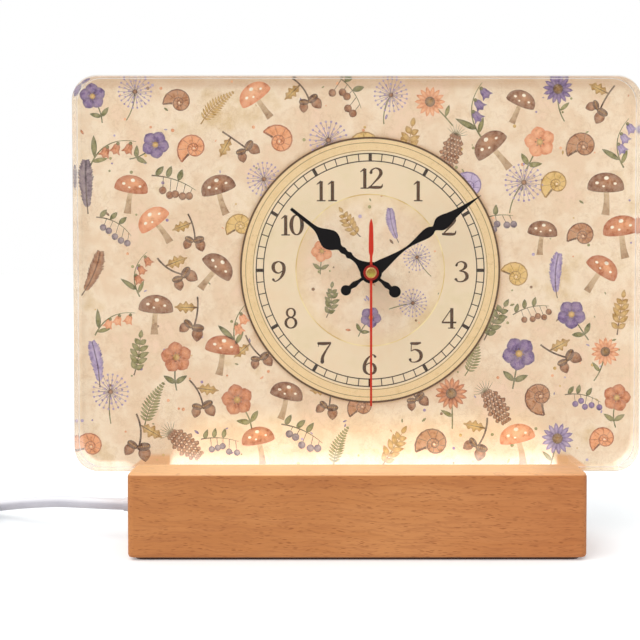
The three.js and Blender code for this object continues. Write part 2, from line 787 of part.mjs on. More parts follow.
function movementCase() {
  const shell = plate(roundedPoints(caseSide, caseSide, caseCorner), caseBack, caseDepth);
  const well = caseDepth - caseWall + overrun;
  const gearWell = plate(
    roundedPoints(2 * inside, inside - gearFloor, caseWall, [0, (inside + gearFloor) / 2]),
    caseBack - overrun,
    well,
  );
  const bay = plate(
    roundedPoints(2 * inside, bayHeight, caseWall, [0, bayTop - bayHeight / 2]),
    caseBack - overrun,
    well,
  );
  const post = ([x, y], radius, end) =>
    rod(radius, end, caseInner + caseWall / 2, 12).translate(x, y, 0);
  const posts = [
    ...cornerPosts.map((place) => post(place, postRadius, rearCoverFront + seatGap)),
    ...bridgePosts.map((place) => post(place, bossRadius, planeFront(thirdPlane) + seatGap)),
    ...statorPosts.map((place) => post(place, bossRadius, statorFront + seatGap)),
    ...circuitPosts.map((place) => post(place, circuitPostRadius, circuitFront + seatGap)),
  ];
  const thirdBoss = post(thirdAxis, bossRadius, planeFront(minutePlane) + runningGap);
  const thirdHole = rod(pivotRadius + runningGap, planeFront(minutePlane), planeFront(hourPlane), 12);
  const motionPost = post(motionAxis, pivotRadius, planeBack(motionPlane) - runningGap / 2);
  const knobBoss = post(knobAxis, bossRadius, planeFront(hourPlane) - wheelThickness / 2);
  const knobHole = rod(pivotRadius + runningGap, planeBack(hourPlane), planeFront(hourPlane), 12);
  const bush = rod(bushRadius, caseInner + caseWall / 2, blockFront + bushReach);
  const bore = rod(bushBore, caseInner - overrun, blockFront + bushReach + overrun);
  const windowDepth = coverPlate / 3 + 2 * fitGap;
  const windows = lugPlaces.map(([x, y]) =>
    block(
      (x ? caseWall : lugLength) + 2 * fitGap,
      (x ? lugLength : caseWall) + 2 * fitGap,
      windowDepth,
      [x * (inside + caseWall / 2 + fitGap / 2), x ? gearMiddle : inside + caseWall / 2, lugHeight],
    ),
  );
  const notchDepth = caseDepth - caseWall;
  const notchMiddle = caseBack + notchDepth / 2 - overrun;
  const notches = [-1, 1].map((side) =>
    block(2 * contactThickness + 2 * fitGap, 3 * caseWall, notchDepth, [
      side * (inside - contactThickness),
      bayTop + caseWall / 2,
      notchMiddle,
    ]),
  );
  return cut(
    joined(cut(shell, gearWell, bay), ...posts, thirdBoss, motionPost, knobBoss, bush),
    bore,
    thirdHole.translate(...thirdAxis, 0),
    knobHole.translate(...knobAxis, 0),
    ...windows,
    ...notches,
  );
}

const gearMiddle = (inside + gearFloor) / 2;
const lugPlaces = [[-1, 0], [1, 0], [0, 1]];
const lugHeight = rearCoverFront - coverPlate / 3;

// Rear cover: a plate with lugs that snap into the case and bosses for the wheels' rear pivots
function rearCover() {
  const side = 2 * fitGap;
  const outline = roundedPoints(2 * inside - side, inside - gearFloor - side, caseWall, [0, gearMiddle]);
  const panel = plate(outline, caseBack, coverPlate);
  const lugs = lugPlaces.map(([x, y]) =>
    block(
      x ? 2 * lugReach : lugLength,
      x ? lugLength : 2 * lugReach,
      coverPlate / 3,
      [x * (inside - fitGap), x ? gearMiddle : inside - fitGap, lugHeight],
    ),
  );
  const axes = [handAxis, thirdAxis, stepAxis, rotorAxis];
  const bosses = axes.map(([x, y]) =>
    rod(bossRadius, rearCoverFront - overrun / 2, bossEnd, 12).translate(x, y, 0),
  );
  const pivots = axes.map(([x, y]) =>
    rod(pivotRadius + runningGap, rearCoverFront + seatGap, bossEnd + overrun, 12).translate(x, y, 0),
  );
  const knobHole = rod(knobShaftRadius + runningGap, caseBack - overrun, rearCoverFront + overrun, 20);
  return cut(joined(panel, ...lugs, ...bosses), ...pivots, knobHole.translate(...knobAxis, 0));
}

// The bridge that holds the front pivots of the step wheel and the rotor
function trainBridge() {
  const left = bridgePosts[0][0] - bossRadius;
  const right = stepAxis[0] + bridgeMargin;
  const low = stepAxis[1] - 2 * bossRadius;
  const high = bridgePosts[1][1] + bossRadius;
  const middle = [(left + right) / 2, (low + high) / 2];
  const outline = roundedPoints(right - left, high - low, bossRadius, middle);
  const pivotHole = (place) => circlePoints(pivotRadius + runningGap, place, 12);
  const back = planeBack(thirdPlane);
  const bridge = plate(outline, back, wheelThickness, [pivotHole(stepAxis), pivotHole(rotorAxis)]);
  const shaftHole = rod(knobShaftRadius + runningGap, back - overrun, back + wheelThickness + overrun, 20);
  return cut(bridge, shaftHole.translate(...knobAxis, 0));
}

// Gear train. Each wheel is drawn about its own axis and set in mesh at rest.

const secondsModule = moduleOf(stepDistance, stepPinionTeeth, secondsTeeth);
const rotorModule = moduleOf(rotorDistance, rotorPinionTeeth, stepTeeth);
const thirdModule = moduleOf(thirdDistance, secondsPinionTeeth, thirdTeeth);
const minuteModule = moduleOf(thirdDistance, thirdPinionTeeth, minuteTeeth);
const cannonModule = moduleOf(motionDistance, cannonTeeth, motionTeeth);
const hourModule = moduleOf(motionDistance, motionPinionTeeth, hourTeeth);
const knobModule = moduleOf(knobDistance, motionTeeth, knobPinionTeeth);

const stepPinionTurn = meshedTurn(secondsTeeth, 0, stepPinionTeeth, stepAngle);
const rotorTurn = meshedTurn(stepTeeth, 0, rotorPinionTeeth, rotorAngle);
const thirdTurn = meshedTurn(secondsPinionTeeth, 0, thirdTeeth, thirdAngle);
const thirdPinionTurn = meshedTurn(minuteTeeth, 0, thirdPinionTeeth, thirdAngle);
const motionTurn = meshedTurn(cannonTeeth, 0, motionTeeth, motionAngle);
const motionPinionTurn = meshedTurn(hourTeeth, 0, motionPinionTeeth, motionAngle);
const knobTurn = meshedTurn(motionTeeth, motionTurn, knobPinionTeeth, knobAngle);

const wheelOf = (teeth, module, turn, plane) => gear(teeth, module, turn, planeBack(plane), wheelThickness);

// A pinion in its own plane that reaches back through the wheel behind it.
function pinionOf(teeth, module, turn, plane) {
  return gear(teeth, module, turn, planeBack(plane + 1), planePitch + wheelThickness);
}

function secondsWheel() {
  const wheel = wheelOf(secondsTeeth, secondsModule, 0, secondsPlane);
  const pinion = pinionOf(secondsPinionTeeth, thirdModule, 0, thirdPlane);
  const arbor = rod(arborRadius, planeBack(secondsPlane), blockFront + secondHandLift + handThickness);
  const pivot = rod(pivotRadius, rearCoverFront + fitGap + seatGap, planeBack(secondsPlane) + seatGap);
  return joined(wheel, pinion, arbor, pivot);
}

function stepWheel() {
  const wheel = wheelOf(stepTeeth, rotorModule, 0, stepPlane);
  const pinion = pinionOf(stepPinionTeeth, secondsModule, stepPinionTurn, secondsPlane);
  const front = planeFront(thirdPlane) - wheelThickness / 4;
  return joined(wheel, pinion, rod(pivotRadius, rearCoverFront + fitGap + seatGap, front, 12));
}

function rotor() {
  const magnet = rod(magnetRadius, magnetFront - magnetLength, magnetFront);
  const back = magnetMiddle;
  const pinion = gear(rotorPinionTeeth, rotorModule, rotorTurn, back, planeFront(stepPlane) - back);
  const front = planeFront(thirdPlane) - wheelThickness / 4;
  return joined(magnet, pinion, rod(pivotRadius, rearCoverFront + fitGap + seatGap, front, 12));
}

function thirdWheel() {
  const wheel = wheelOf(thirdTeeth, thirdModule, thirdTurn, thirdPlane);
  const pinion = pinionOf(thirdPinionTeeth, minuteModule, thirdPinionTurn, minutePlane);
  const front = planeFront(hourPlane) - fitGap;
  return joined(wheel, pinion, rod(pivotRadius, rearCoverFront + fitGap + seatGap, front, 12));
}

function minuteWheel() {
  const wheel = wheelOf(minuteTeeth, minuteModule, 0, minutePlane);
  const cannon = pinionOf(cannonTeeth, cannonModule, 0, motionPlane);
  const tubeEnd = blockFront + minuteHandLift + 2 * handThickness;
  const tube = rod(minuteTubeRadius, planeBack(motionPlane), tubeEnd);
  const bore = rod(minuteBore, planeBack(minutePlane) - overrun, blockFront + secondHandLift);
  return cut(joined(wheel, cannon, tube), bore);
}

function motionWheel() {
  const wheel = wheelOf(motionTeeth, cannonModule, motionTurn, motionPlane);
  const pinion = pinionOf(motionPinionTeeth, hourModule, motionPinionTurn, hourPlane);
  const back = planeBack(motionPlane);
  const bore = rod(pivotRadius + runningGap, back - overrun, planeFront(hourPlane) + overrun, 12);
  return cut(joined(wheel, pinion), bore);
}

function hourWheel() {
  const wheel = wheelOf(hourTeeth, hourModule, 0, hourPlane);
  const tubeEnd = blockFront + hourHandLift + 2 * handThickness;
  const tube = rod(hourTubeRadius, planeBack(hourPlane), tubeEnd);
  const bore = rod(hourBore, planeBack(hourPlane) - overrun, blockFront + minuteHandLift);
  return cut(joined(wheel, tube), bore);
}

// Setting knob: a pinion on the motion wheel, a shaft out through the rear cover, a fluted knob
function settingKnob() {
  const pinion = gear(knobPinionTeeth, knobModule, knobTurn, planeBack(motionPlane), wheelThickness);
  const stub = rod(pivotRadius, planeBack(motionPlane), planeFront(hourPlane) - wheelThickness / 4, 12);
  const knobFront = caseBack - runningGap;
  const shaft = rod(knobShaftRadius, knobFront - overrun, planeBack(motionPlane), 20);
  const sides = 2 * knobFlutes;
  const outline = Array.from({ length: sides }, (_, i) => {
    const angle = (2 * Math.PI * i) / sides;
    const radius = knobRadius - (i % 2) * knobFluteDepth;
    return new THREE.Vector2(radius * Math.cos(angle), radius * Math.sin(angle));
  });
  return joined(pinion, stub, shaft, plate(outline, knobFront - knobHeight, knobHeight));
}

// Stepping motor

function stator() {
  const low = rotorAxis[1] - statorBodyHeight / 2;
  const high = coreRow + statorArm / 2;
  const outline = roundedPoints(statorWidth, high - low, thinCorner, [statorMiddle, (low + high) / 2]);
  const windowLow = rotorAxis[1] + statorBodyHeight / 2;
  const opening = roundedPoints(
    statorWidth - 2 * statorArm,
    high - windowLow + overrun,
    thinCorner / 2,
    [statorMiddle, (windowLow + high + overrun) / 2],
  );
  const back = statorFront - statorThickness;
  const body = plate(outline, back, statorThickness, [circlePoints(magnetRadius + magnetGap, rotorAxis)]);
  const holes = statorPosts.map(([x, y]) =>
    rod(screwShankRadius + fitGap, back - overrun, statorFront + overrun, 12).translate(x, y, 0),
  );
  return cut(body, plate(opening, back - overrun, statorThickness + 2 * overrun), ...holes);
}

function coilCore() {
  const outline = roundedPoints(statorWidth, statorArm, thinCorner, [statorMiddle, coreRow]);
  const holes = statorPosts.map((place) => circlePoints(screwShankRadius + fitGap, place, 12));
  return plate(outline, coreFront - statorThickness, statorThickness, holes);
}

function motorCoil() {
  const half = coilWindingLength / 2;
  const end = half + coilFlangeThickness;
  const spool = turned(
    [
      [0, -end],
      [coilFlangeRadius, -end],
      [coilFlangeRadius, -half],
      [coilWindingRadius, -half],
      [coilWindingRadius, half],
      [coilFlangeRadius, half],
      [coilFlangeRadius, end],
      [0, end],
    ],
    20,
  ).rotate(0, 90, 0);
  const bore = block(2 * end + overrun, statorArm + 2 * fitGap, statorThickness + 2 * fitGap, [0, 0, 0]);
  return cut(spool, bore).translate(statorMiddle, coreRow, coreFront - statorThickness / 2);
}

// Circuit board with its chip under a drop of resin and its crystal

function circuitBoard() {
  const middle = [circuitMiddle, circuitBottom + circuitHeight / 2];
  const outline = roundedPoints(circuitWidth, circuitHeight, thinCorner, middle);
  return plate(outline, circuitFront - circuitThickness, circuitThickness);
}

function chipBlob() {
  const profile = [[0, 0], [blobRadius, 0]];
  const steps = 4;
  for (let i = 1; i <= steps; i += 1) {
    const angle = (i / steps) * (Math.PI / 2);
    profile.push([blobRadius * Math.cos(angle), blobHeight * Math.sin(angle)]);
  }
  profile.at(-1)[0] = 0;
  return turned(profile, 20)
    .rotate(180, 0, 0)
    .translate(circuitMiddle, circuitBottom + circuitHeight / 2, circuitFront - circuitThickness - seatGap);
}

function crystalCan() {
  const height = circuitFront - circuitThickness - seatGap - crystalRadius;
  return rod(crystalRadius, 0, crystalLength, 12)
    .rotate(-90, 0, 0)
    .translate(circuitMiddle, circuitBottom + circuitHeight / 5, height);
}

// Battery and its contacts, drawn along x

const bayMiddle = bayTop - bayHeight / 2;
const batteryHeight = caseInner - fitGap - batteryRadius;
const nubEnd = inside - seatGap - contactThickness - fitGap;
const batteryRight = nubEnd - nubLength;
const batteryLeft = batteryRight - batteryLength;

function battery() {
  const left = batteryLeft;
  const edge = fitGap;
  return turned([
    [0, left],
    [batteryRadius - edge, left],
    [batteryRadius, left + edge],
    [batteryRadius, batteryRight - edge],
    [batteryRadius - edge, batteryRight],
    [nubRadius, batteryRight],
    [nubRadius, nubEnd],
    [0, nubEnd],
  ])
    .rotate(0, 90, 0)
    .translate(0, bayMiddle, batteryHeight);
}

const footHeight = circuitFront - circuitThickness - seatGap - contactThickness / 2;

// A contact: an upright plate at one end of the bay, a tab past the bay's wall, and a strip along
// the wall to a foot that lies on the circuit board.
function contact(side, footReach) {
  const low = bayMiddle - contactWidth / 2;
  const high = gearFloor + contactTab;
  const wall = side * (inside - seatGap);
  const upright = block(contactThickness, high - low, contactWidth, [
    wall - (side * contactThickness) / 2,
    (low + high) / 2,
    batteryHeight,
  ]);
  const stripLow = gearFloor + seatGap;
  const strip = block(Math.abs(wall - footReach), contactThickness, contactTab, [
    (wall + footReach) / 2,
    stripLow + contactThickness / 2,
    footHeight - contactTab / 2 + contactThickness / 2,
  ]);
  const foot = block(contactTab, contactTab, contactThickness, [
    footReach + (side * contactTab) / 2,
    stripLow + contactTab / 2,
    footHeight,
  ]);
  return joined(upright, strip, foot);
}

function positiveContact() {
  return contact(1, circuitLeft + circuitWidth - contactTab);
}

function negativeContact() {
  const root = -inside + seatGap + contactThickness / 2;
  const reach = batteryLeft - fitGap - root;
  const bulge = turned([[0, 0], [contactWidth / 3, 0], [nubRadius / 2, reach], [0, reach]], 16)
    .rotate(0, 90, 0)
    .translate(root, bayMiddle, batteryHeight);
  return contact(-1, circuitLeft + contactTab).add(bulge);
}

// Hands, drawn upright and turned to the time they show

function handOutline(length, halfWidth, shares, samples) {
  const edge = new THREE.SplineCurve(
    shares.map(([along, across]) => new THREE.Vector2(across * halfWidth, along * length)),
  ).getPoints(samples);
  const mirrored = edge.map((point) => new THREE.Vector2(-point.x, point.y)).reverse();
  return [...edge, ...mirrored];
}

function spadeHand(length, halfWidth, shares, tailDisc, tubeRadius, lift) {
  const back = blockFront + lift;
  const blade = plate(handOutline(length, halfWidth, shares, handSamples), back, handThickness);
  const tailOutline = handOutline(tailReach, tailHalfWidth, tailShares, tailSamples).map(
    (point) => new THREE.Vector2(-point.x, -point.y),
  );
  const tail = plate(tailOutline, back, handThickness);
  const disc = rod(tailDisc, back, back + handThickness, 20).translate(0, -tailReach, 0);
  const hub = rod(hubRadius, back, back + handThickness, 32);
  const hole = rod(tubeRadius + fitGap, back - overrun, back + handThickness + overrun);
  return cut(joined(hub, blade, tail, disc), hole);
}

function secondHand() {
  const back = blockFront + secondHandLift;
  const half = handThickness / 2;
  const needlePoints = [
    new THREE.Vector2(needleTipHalfWidth, secondHandLength),
    new THREE.Vector2(-needleTipHalfWidth, secondHandLength),
    new THREE.Vector2(-needleHalfWidth, 0),
    new THREE.Vector2(needleHalfWidth, 0),
  ];
  const needle = plate(needlePoints, back, half);
  const tailOutline = handOutline(secondTailLength, secondTailHalfWidth, secondTailShares, tailSamples).map(
    (point) => new THREE.Vector2(-point.x, -point.y),
  );
  const tail = plate(tailOutline, back, half);
  const collar = rod(collarRadius, back - half, back + handThickness, 28);
  const hole = rod(arborRadius + 2 * fitGap, back - overrun, back + overrun);
  return cut(joined(collar, needle, tail), hole);
}

// The brass cap that closes the second hand's collar over the arbor
function centreCap() {
  const seat = blockFront + secondHandLift + handThickness + seatGap;
  const crown = seat + capHeight;
  const stemEnd = seat - 2 * handThickness;
  const stemRadius = arborRadius + capStemWall;
  const bore = rod(arborRadius + capStemWall / 3, stemEnd - overrun, seat + capHeight / 4);
  const cap = turned([
    [0, stemEnd],
    [stemRadius, stemEnd],
    [stemRadius, seat],
    [capRadius, seat],
    [capRadius, crown - capHeight / 3],
    [capRadius - capHeight / 3, crown],
    [0, crown],
  ]);
  return cut(cap, bore);
}

// Assembly

const clock = new THREE.Group();

function placed(made, [x, y, z] = [0, 0, 0], turn = 0) {
  made.position.set(x, y, z);
  made.rotation.z = turn;
  return made;
}

function addBase(group) {
  group.add(mesh("wood_base", baseBody(), "beech"));
  const padPoints = roundedPoints(baseLength - 2 * padInset, baseDepth - 2 * padInset, padCorner);
  group.add(mesh("anti_slip_pad", plate(padPoints, 0, padThickness), "rubber"));
  group.add(mesh("cover_plate", coverPanel(), "blackPlastic"));
  coverScrewPlaces.forEach(([x, y], i) => {
    const place = [x, y, baseBottom + screwHeadHeight];
    group.add(mesh(`cover_screw_${i + 1}`, screw(coverScrewLength, place), "steel"));
  });
  group.add(mesh("led_board", lightBoard(), "whiteBoard"));
  boardScrewPlaces.forEach(([x, y], i) => {
    const place = [x, y, boardTop - boardThickness - seatGap];
    group.add(mesh(`board_screw_${i + 1}`, screw(boardScrewLength, place), "steel"));
  });
  group.add(mesh("cable_sleeve", cableSleeve(), "whitePlastic"));
  group.add(mesh("inner_lead", innerLead(), "whitePlastic"));
}

function addCable(group) {
  group.add(mesh("usb_cable", freeCable(), "whitePlastic"));
  const line = coilLine();
  console.log(`coil's least gap to itself: ${leastGap(line).toFixed(2)} mm`);
  group.add(mesh("usb_cable_coil", tubeAlong(line, cordDiameter / 2, coilSides), "whitePlastic"));
  const plug = new THREE.Group();
  const end = line.at(-1);
  plug.position.set(end.x, end.y - fitGap - plugNeckLength, end.z);
  plug.rotation.z = -Math.PI / 2;
  plug.add(mesh("usb_plug_body", plugBody(), "whitePlastic"));
  plug.add(mesh("usb_plug_shell", plugShell(), "steel"));
  plug.add(mesh("usb_plug_tongue", plugTongue(), "whitePlastic"));
  group.add(plug);
}

function addTrain(face) {
  const at = ([x, y]) => [x, y, 0];
  face.add(mesh("seconds_wheel", secondsWheel(), "whitePlastic"));
  face.add(placed(mesh("step_wheel", stepWheel(), "whitePlastic"), at(stepAxis)));
  face.add(placed(mesh("rotor", rotor(), "steel"), at(rotorAxis)));
  face.add(placed(mesh("third_wheel", thirdWheel(), "whitePlastic"), at(thirdAxis)));
  face.add(mesh("minute_wheel", minuteWheel(), "brass"));
  face.add(placed(mesh("motion_wheel", motionWheel(), "whitePlastic"), at(motionAxis)));
  face.add(mesh("hour_wheel", hourWheel(), "brass"));
  face.add(placed(mesh("setting_knob", settingKnob(), "blackPlastic"), at(knobAxis)));
}

function addMovement(face) {
  face.add(mesh("movement_case", movementCase(), "blackPlastic"));
  face.add(mesh("rear_cover", rearCover(), "blackPlastic"));
  face.add(mesh("train_bridge", trainBridge(), "whitePlastic"));
  face.add(mesh("stator", stator(), "steel"));
  face.add(mesh("coil_core", coilCore(), "steel"));
  face.add(mesh("motor_coil", motorCoil(), "copper"));
  face.add(mesh("circuit_board", circuitBoard(), "greenBoard"));
  face.add(mesh("chip_blob", chipBlob(), "blackPlastic"));
  face.add(mesh("quartz_crystal", crystalCan(), "steel"));
  face.add(mesh("aa_battery", battery(), "batterySleeve"));
  face.add(mesh("battery_positive_contact", positiveContact(), "steel"));
  face.add(mesh("battery_negative_contact", negativeContact(), "steel"));
  addTrain(face);
}

function addHands(face) {
  const hour = spadeHand(
    hourHandLength, hourHandHalfWidth, hourHandShares,
    hourTailDisc, hourTubeRadius, hourHandLift,
  );
  const minute = spadeHand(
    minuteHandLength, minuteHandHalfWidth, minuteHandShares,
    minuteTailDisc, minuteTubeRadius, minuteHandLift,
  );
  face.add(placed(mesh("hour_hand", hour, "handBlack"), [0, 0, 0], hourHandAngle));
  face.add(placed(mesh("minute_hand", minute, "handBlack"), [0, 0, 0], minuteHandAngle));
  face.add(placed(mesh("second_hand", secondHand(), "handRed"), [0, 0, 0], secondHandAngle));
  face.add(mesh("centre_cap", centreCap(), "brass"));
}

// The face's frame: x to the right, y up and z towards the viewer, from the hands' axis.
function addFace(group) {
  const face = new THREE.Group();
  face.position.set(pivotAcross, 0, pivotHeight);
  face.rotation.x = Math.PI / 2;
  face.add(mesh("acrylic_block", acrylicBlock(), "acrylic"));
  face.add(mesh("printed_film", printedFilm(), "print"));
  face.add(mesh("adhesive_foam", foamPad(), "foam"));
  addMovement(face);
  addHands(face);
  group.add(face);
}

addBase(clock);
addCable(clock);
addFace(clock);

export default clock;
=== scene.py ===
# The table clock's looks: a beech light base, a clear block printed on its back, the hands and the
# movement, and the cable. Lengths are in millimetres, and MM turns them into Blender's metres.
# X runs to the right, Y away from the viewer and Z up.

import cmath
import json
import math
import random

import bmesh
import bpy
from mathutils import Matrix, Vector


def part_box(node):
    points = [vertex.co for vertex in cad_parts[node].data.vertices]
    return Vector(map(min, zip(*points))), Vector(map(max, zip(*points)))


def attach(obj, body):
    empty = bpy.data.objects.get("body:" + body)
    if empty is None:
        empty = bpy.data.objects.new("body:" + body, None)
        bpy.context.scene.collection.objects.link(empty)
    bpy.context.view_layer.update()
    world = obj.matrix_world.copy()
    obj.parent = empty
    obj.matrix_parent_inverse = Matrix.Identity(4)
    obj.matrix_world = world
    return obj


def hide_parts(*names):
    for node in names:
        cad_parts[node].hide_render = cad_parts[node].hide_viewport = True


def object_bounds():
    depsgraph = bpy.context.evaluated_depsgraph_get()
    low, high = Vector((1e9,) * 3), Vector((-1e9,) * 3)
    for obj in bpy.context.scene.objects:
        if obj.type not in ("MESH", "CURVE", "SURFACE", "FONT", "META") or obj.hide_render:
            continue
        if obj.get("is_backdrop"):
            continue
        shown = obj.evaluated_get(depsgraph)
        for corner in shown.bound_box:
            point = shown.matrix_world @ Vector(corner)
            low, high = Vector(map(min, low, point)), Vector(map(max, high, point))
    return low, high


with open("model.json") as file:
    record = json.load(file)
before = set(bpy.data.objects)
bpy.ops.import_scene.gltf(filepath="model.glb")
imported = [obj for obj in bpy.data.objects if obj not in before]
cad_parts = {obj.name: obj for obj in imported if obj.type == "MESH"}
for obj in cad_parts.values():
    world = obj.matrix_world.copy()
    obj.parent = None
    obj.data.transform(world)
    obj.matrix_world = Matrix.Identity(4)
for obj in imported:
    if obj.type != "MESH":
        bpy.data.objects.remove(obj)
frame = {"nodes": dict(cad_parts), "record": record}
cad_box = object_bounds()
MM = 0.001
NODES = frame["nodes"]


def box_mm(node):
    """The lowest and highest corner of a node at rest."""
    low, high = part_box(node)
    return low / MM, high / MM


BASE_HIGH = box_mm("wood_base")[1]
BLOCK_LOW, BLOCK_HIGH = box_mm("acrylic_block")
FILM_LOW, FILM_HIGH = box_mm("printed_film")
CAP_LOW, CAP_HIGH = box_mm("centre_cap")
BATTERY_LOW, BATTERY_HIGH = box_mm("aa_battery")
BOARD_HIGH = box_mm("led_board")[1]
PLUG_LOW = box_mm("usb_plug_body")[0]
TONGUE_LOW, TONGUE_HIGH = box_mm("usb_plug_tongue")
AXIS = complex((CAP_LOW.x + CAP_HIGH.x) / 2, (CAP_LOW.z + CAP_HIGH.z) / 2)


def add_object(name, data):
    """A new object in the scene with this mesh, curve, lamp or camera."""
    made = bpy.data.objects.new(name, data)
    bpy.context.scene.collection.objects.link(made)
    return made


# Camera

CAMERA_PLACE = (-3.51, -379.53, 98.39)
CAMERA_DOWN = 1.694
CAMERA_TURN = -0.11
CAMERA_LENS = 62.247
CAMERA_SHIFT = (-0.0448, -0.0446)
CAMERA_SENSOR = 36
CAMERA_REACH = (10, 100000)  # the nearest and farthest that it sees


def make_camera():
    data = bpy.data.cameras.new("camera")
    data.lens = CAMERA_LENS
    data.sensor_width = CAMERA_SENSOR
    data.shift_x, data.shift_y = CAMERA_SHIFT
    data.clip_start, data.clip_end = [reach * MM for reach in CAMERA_REACH]
    camera = add_object("camera", data)
    camera.location = Vector(CAMERA_PLACE) * MM
    camera.rotation_euler = (math.radians(90 - CAMERA_DOWN), 0, math.radians(CAMERA_TURN))
    bpy.context.scene.camera = camera


# Cable: the route of the free stretch, then the coil that holds the rest of it

CORD_RADIUS = 2
CORD_LIE = 2.06
CORD_MOUTH = Vector((-81.3, 4, 12.9))
CORD_ROUNDNESS = 5
CORD_POINT_STEPS = 6
CORD_HOLD = 1.2  # how far the cable runs on into its sleeve and into the plug's neck
COIL_RADIUS = 23.6
COIL_PITCH = 4.55
COIL_WHOLE_TURNS = 9
COIL_CLIMB_TURNS = 0.5
COIL_STEPS = 48  # a turn
LEAD_STRAIGHT = 32.6
LEAD_BEND = 12
LEAD_FLAT = 8
LEAD_DOWN = 24
LEAD_RISE = 14
LEAD_END = 3
LEAD_STEPS = 24
JOINT_GAP = 0.3
PLUG_LIE = 4.06
TIE_ANGLE = math.radians(290)
TIE_WIDTH = 6
TIE_THICKNESS = 0.5
TIE_UNDER = 0.05
TIE_GAP = 0.15
TIE_CORNER = 2.4
TIE_STEPS = 6
# Offsets to the left and away from the sleeve's mouth, then the share of the mouth's height that
# is left above the lie on the floor.
CORD_ROUTE = [
    (0, 0, 1), (4.3, 0.2, 1.01), (8.8, 1.1, 1.01), (14.2, 3.2, 0.99), (20.2, 6.9, 0.935),
    (26.2, 11.4, 0.85), (31.7, 16, 0.745), (37.2, 20.6, 0.628), (42.7, 25, 0.512),
    (47.9, 29, 0.395), (53.4, 33, 0.265), (58.3, 36.7, 0.13), (62.9, 40.2, 0.035), (67.5, 43.7, 0),
]


def smooth_line(points, pieces):
    """A centripetal Catmull-Rom curve through the points, in that many pieces between two."""
    ends = [2 * points[0] - points[1], *points, 2 * points[-1] - points[-2]]
    line = []
    for a, b, c, d in zip(ends, ends[1:], ends[2:], ends[3:]):
        first, middle, last = (math.sqrt((q - p).length) for p, q in ((a, b), (b, c), (c, d)))
        leave = ((b - a) / first - (c - a) / (first + middle) + (c - b) / middle) * middle
        arrive = ((c - b) / middle - (d - b) / (middle + last) + (d - c) / last) * middle
        for i in range(pieces):
            t = i / pieces
            line.append(
                b * (2 * t**3 - 3 * t**2 + 1) + leave * (t**3 - 2 * t**2 + t)
                + c * (3 * t**2 - 2 * t**3) + arrive * (t**3 - t**2)
            )
    return [*line, points[-1]]


def ease(value, start, end):
    share = min(max((value - start) / (end - start), 0), 1)
    return share * share * (3 - 2 * share)


def coil_line(start, heading):
    """The coil's middle line: it closes in on the floor, climbs, opens out and ends at the plug."""
    first = start + heading * 2 * CORD_RADIUS
    entry = math.atan2(-heading.x, heading.y)
    turns = COIL_WHOLE_TURNS + (math.pi / 2 - entry) / (2 * math.pi)
    outer = COIL_RADIUS + COIL_PITCH * turns / 4
    middle = first - Vector((math.cos(entry), math.sin(entry), 0)) * outer
    climb_start = (turns - COIL_CLIMB_TURNS) / 2
    steps = round(turns * COIL_STEPS)
    line = [start]
    for i in range(steps + 1):
        turn = turns * i / steps
        inward = min(turn, turns / 2) - max(turn - turns / 2, 0)
        radius = outer - COIL_PITCH * inward
        climb = COIL_PITCH * ease(turn, climb_start, climb_start + COIL_CLIMB_TURNS)
        angle = entry + 2 * math.pi * turn
        line.append(middle + Vector((radius * math.cos(angle), radius * math.sin(angle), climb)))
    last = line[-1]
    length = LEAD_STRAIGHT + LEAD_BEND * math.pi / 2
    for i in range(1, LEAD_STEPS + 1):
        along = length * i / LEAD_STEPS
        bend = max(along - LEAD_STRAIGHT, 0) / LEAD_BEND
        fall = (CORD_LIE - last.z) * ease(along, LEAD_FLAT, LEAD_DOWN)
        rise = (PLUG_LIE - CORD_LIE) * ease(along, length - LEAD_RISE, length)
        out = min(along, LEAD_STRAIGHT) + LEAD_BEND * math.sin(bend)
        line.append(last + Vector((-out, -LEAD_BEND * (1 - math.cos(bend)), fall + rise)))
    line.append(line[-1] - Vector((0, LEAD_END, 0)))
    return line, middle, outer


def cable_line():
    rise = CORD_MOUTH.z - CORD_LIE
    points = [
        Vector((CORD_MOUTH.x - left, CORD_MOUTH.y + away, CORD_LIE + share * rise))
        for left, away, share in CORD_ROUTE
    ]
    free = smooth_line(points, CORD_POINT_STEPS)
    heading = points[-1] - points[-2]
    heading = Vector((heading.x, heading.y, 0)).normalized()
    coil, middle, outer = coil_line(points[-1] + heading * JOINT_GAP, heading)
    start = CORD_MOUTH + Vector((CORD_HOLD, 0, 0))
    end = coil[-1] - Vector((0, CORD_HOLD, 0))
    return [start, *free, *coil, end], middle, outer


def length_of(line):
    return sum((b - a).length for a, b in zip(line, line[1:]))


def make_cable():
    line, middle, outer = cable_line()
    data = bpy.data.curves.new("cable", "CURVE")
    data.dimensions = "3D"
    data.bevel_depth = CORD_RADIUS * MM
    data.bevel_resolution = CORD_ROUNDNESS
    data.use_fill_caps = True
    spline = data.splines.new("POLY")
    spline.points.add(len(line) - 1)
    for point, place in zip(spline.points, line):
        point.co = (*(place * MM), 1)
    data.materials.append(cord_plastic("cable_skin"))
    cable = add_object("cable", data)
    tie = make_tie(middle, outer)
    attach(cable, "base")
    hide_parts("usb_cable", "usb_cable_coil")
    tuple(line[0] * MM)
    length_of(line) * MM


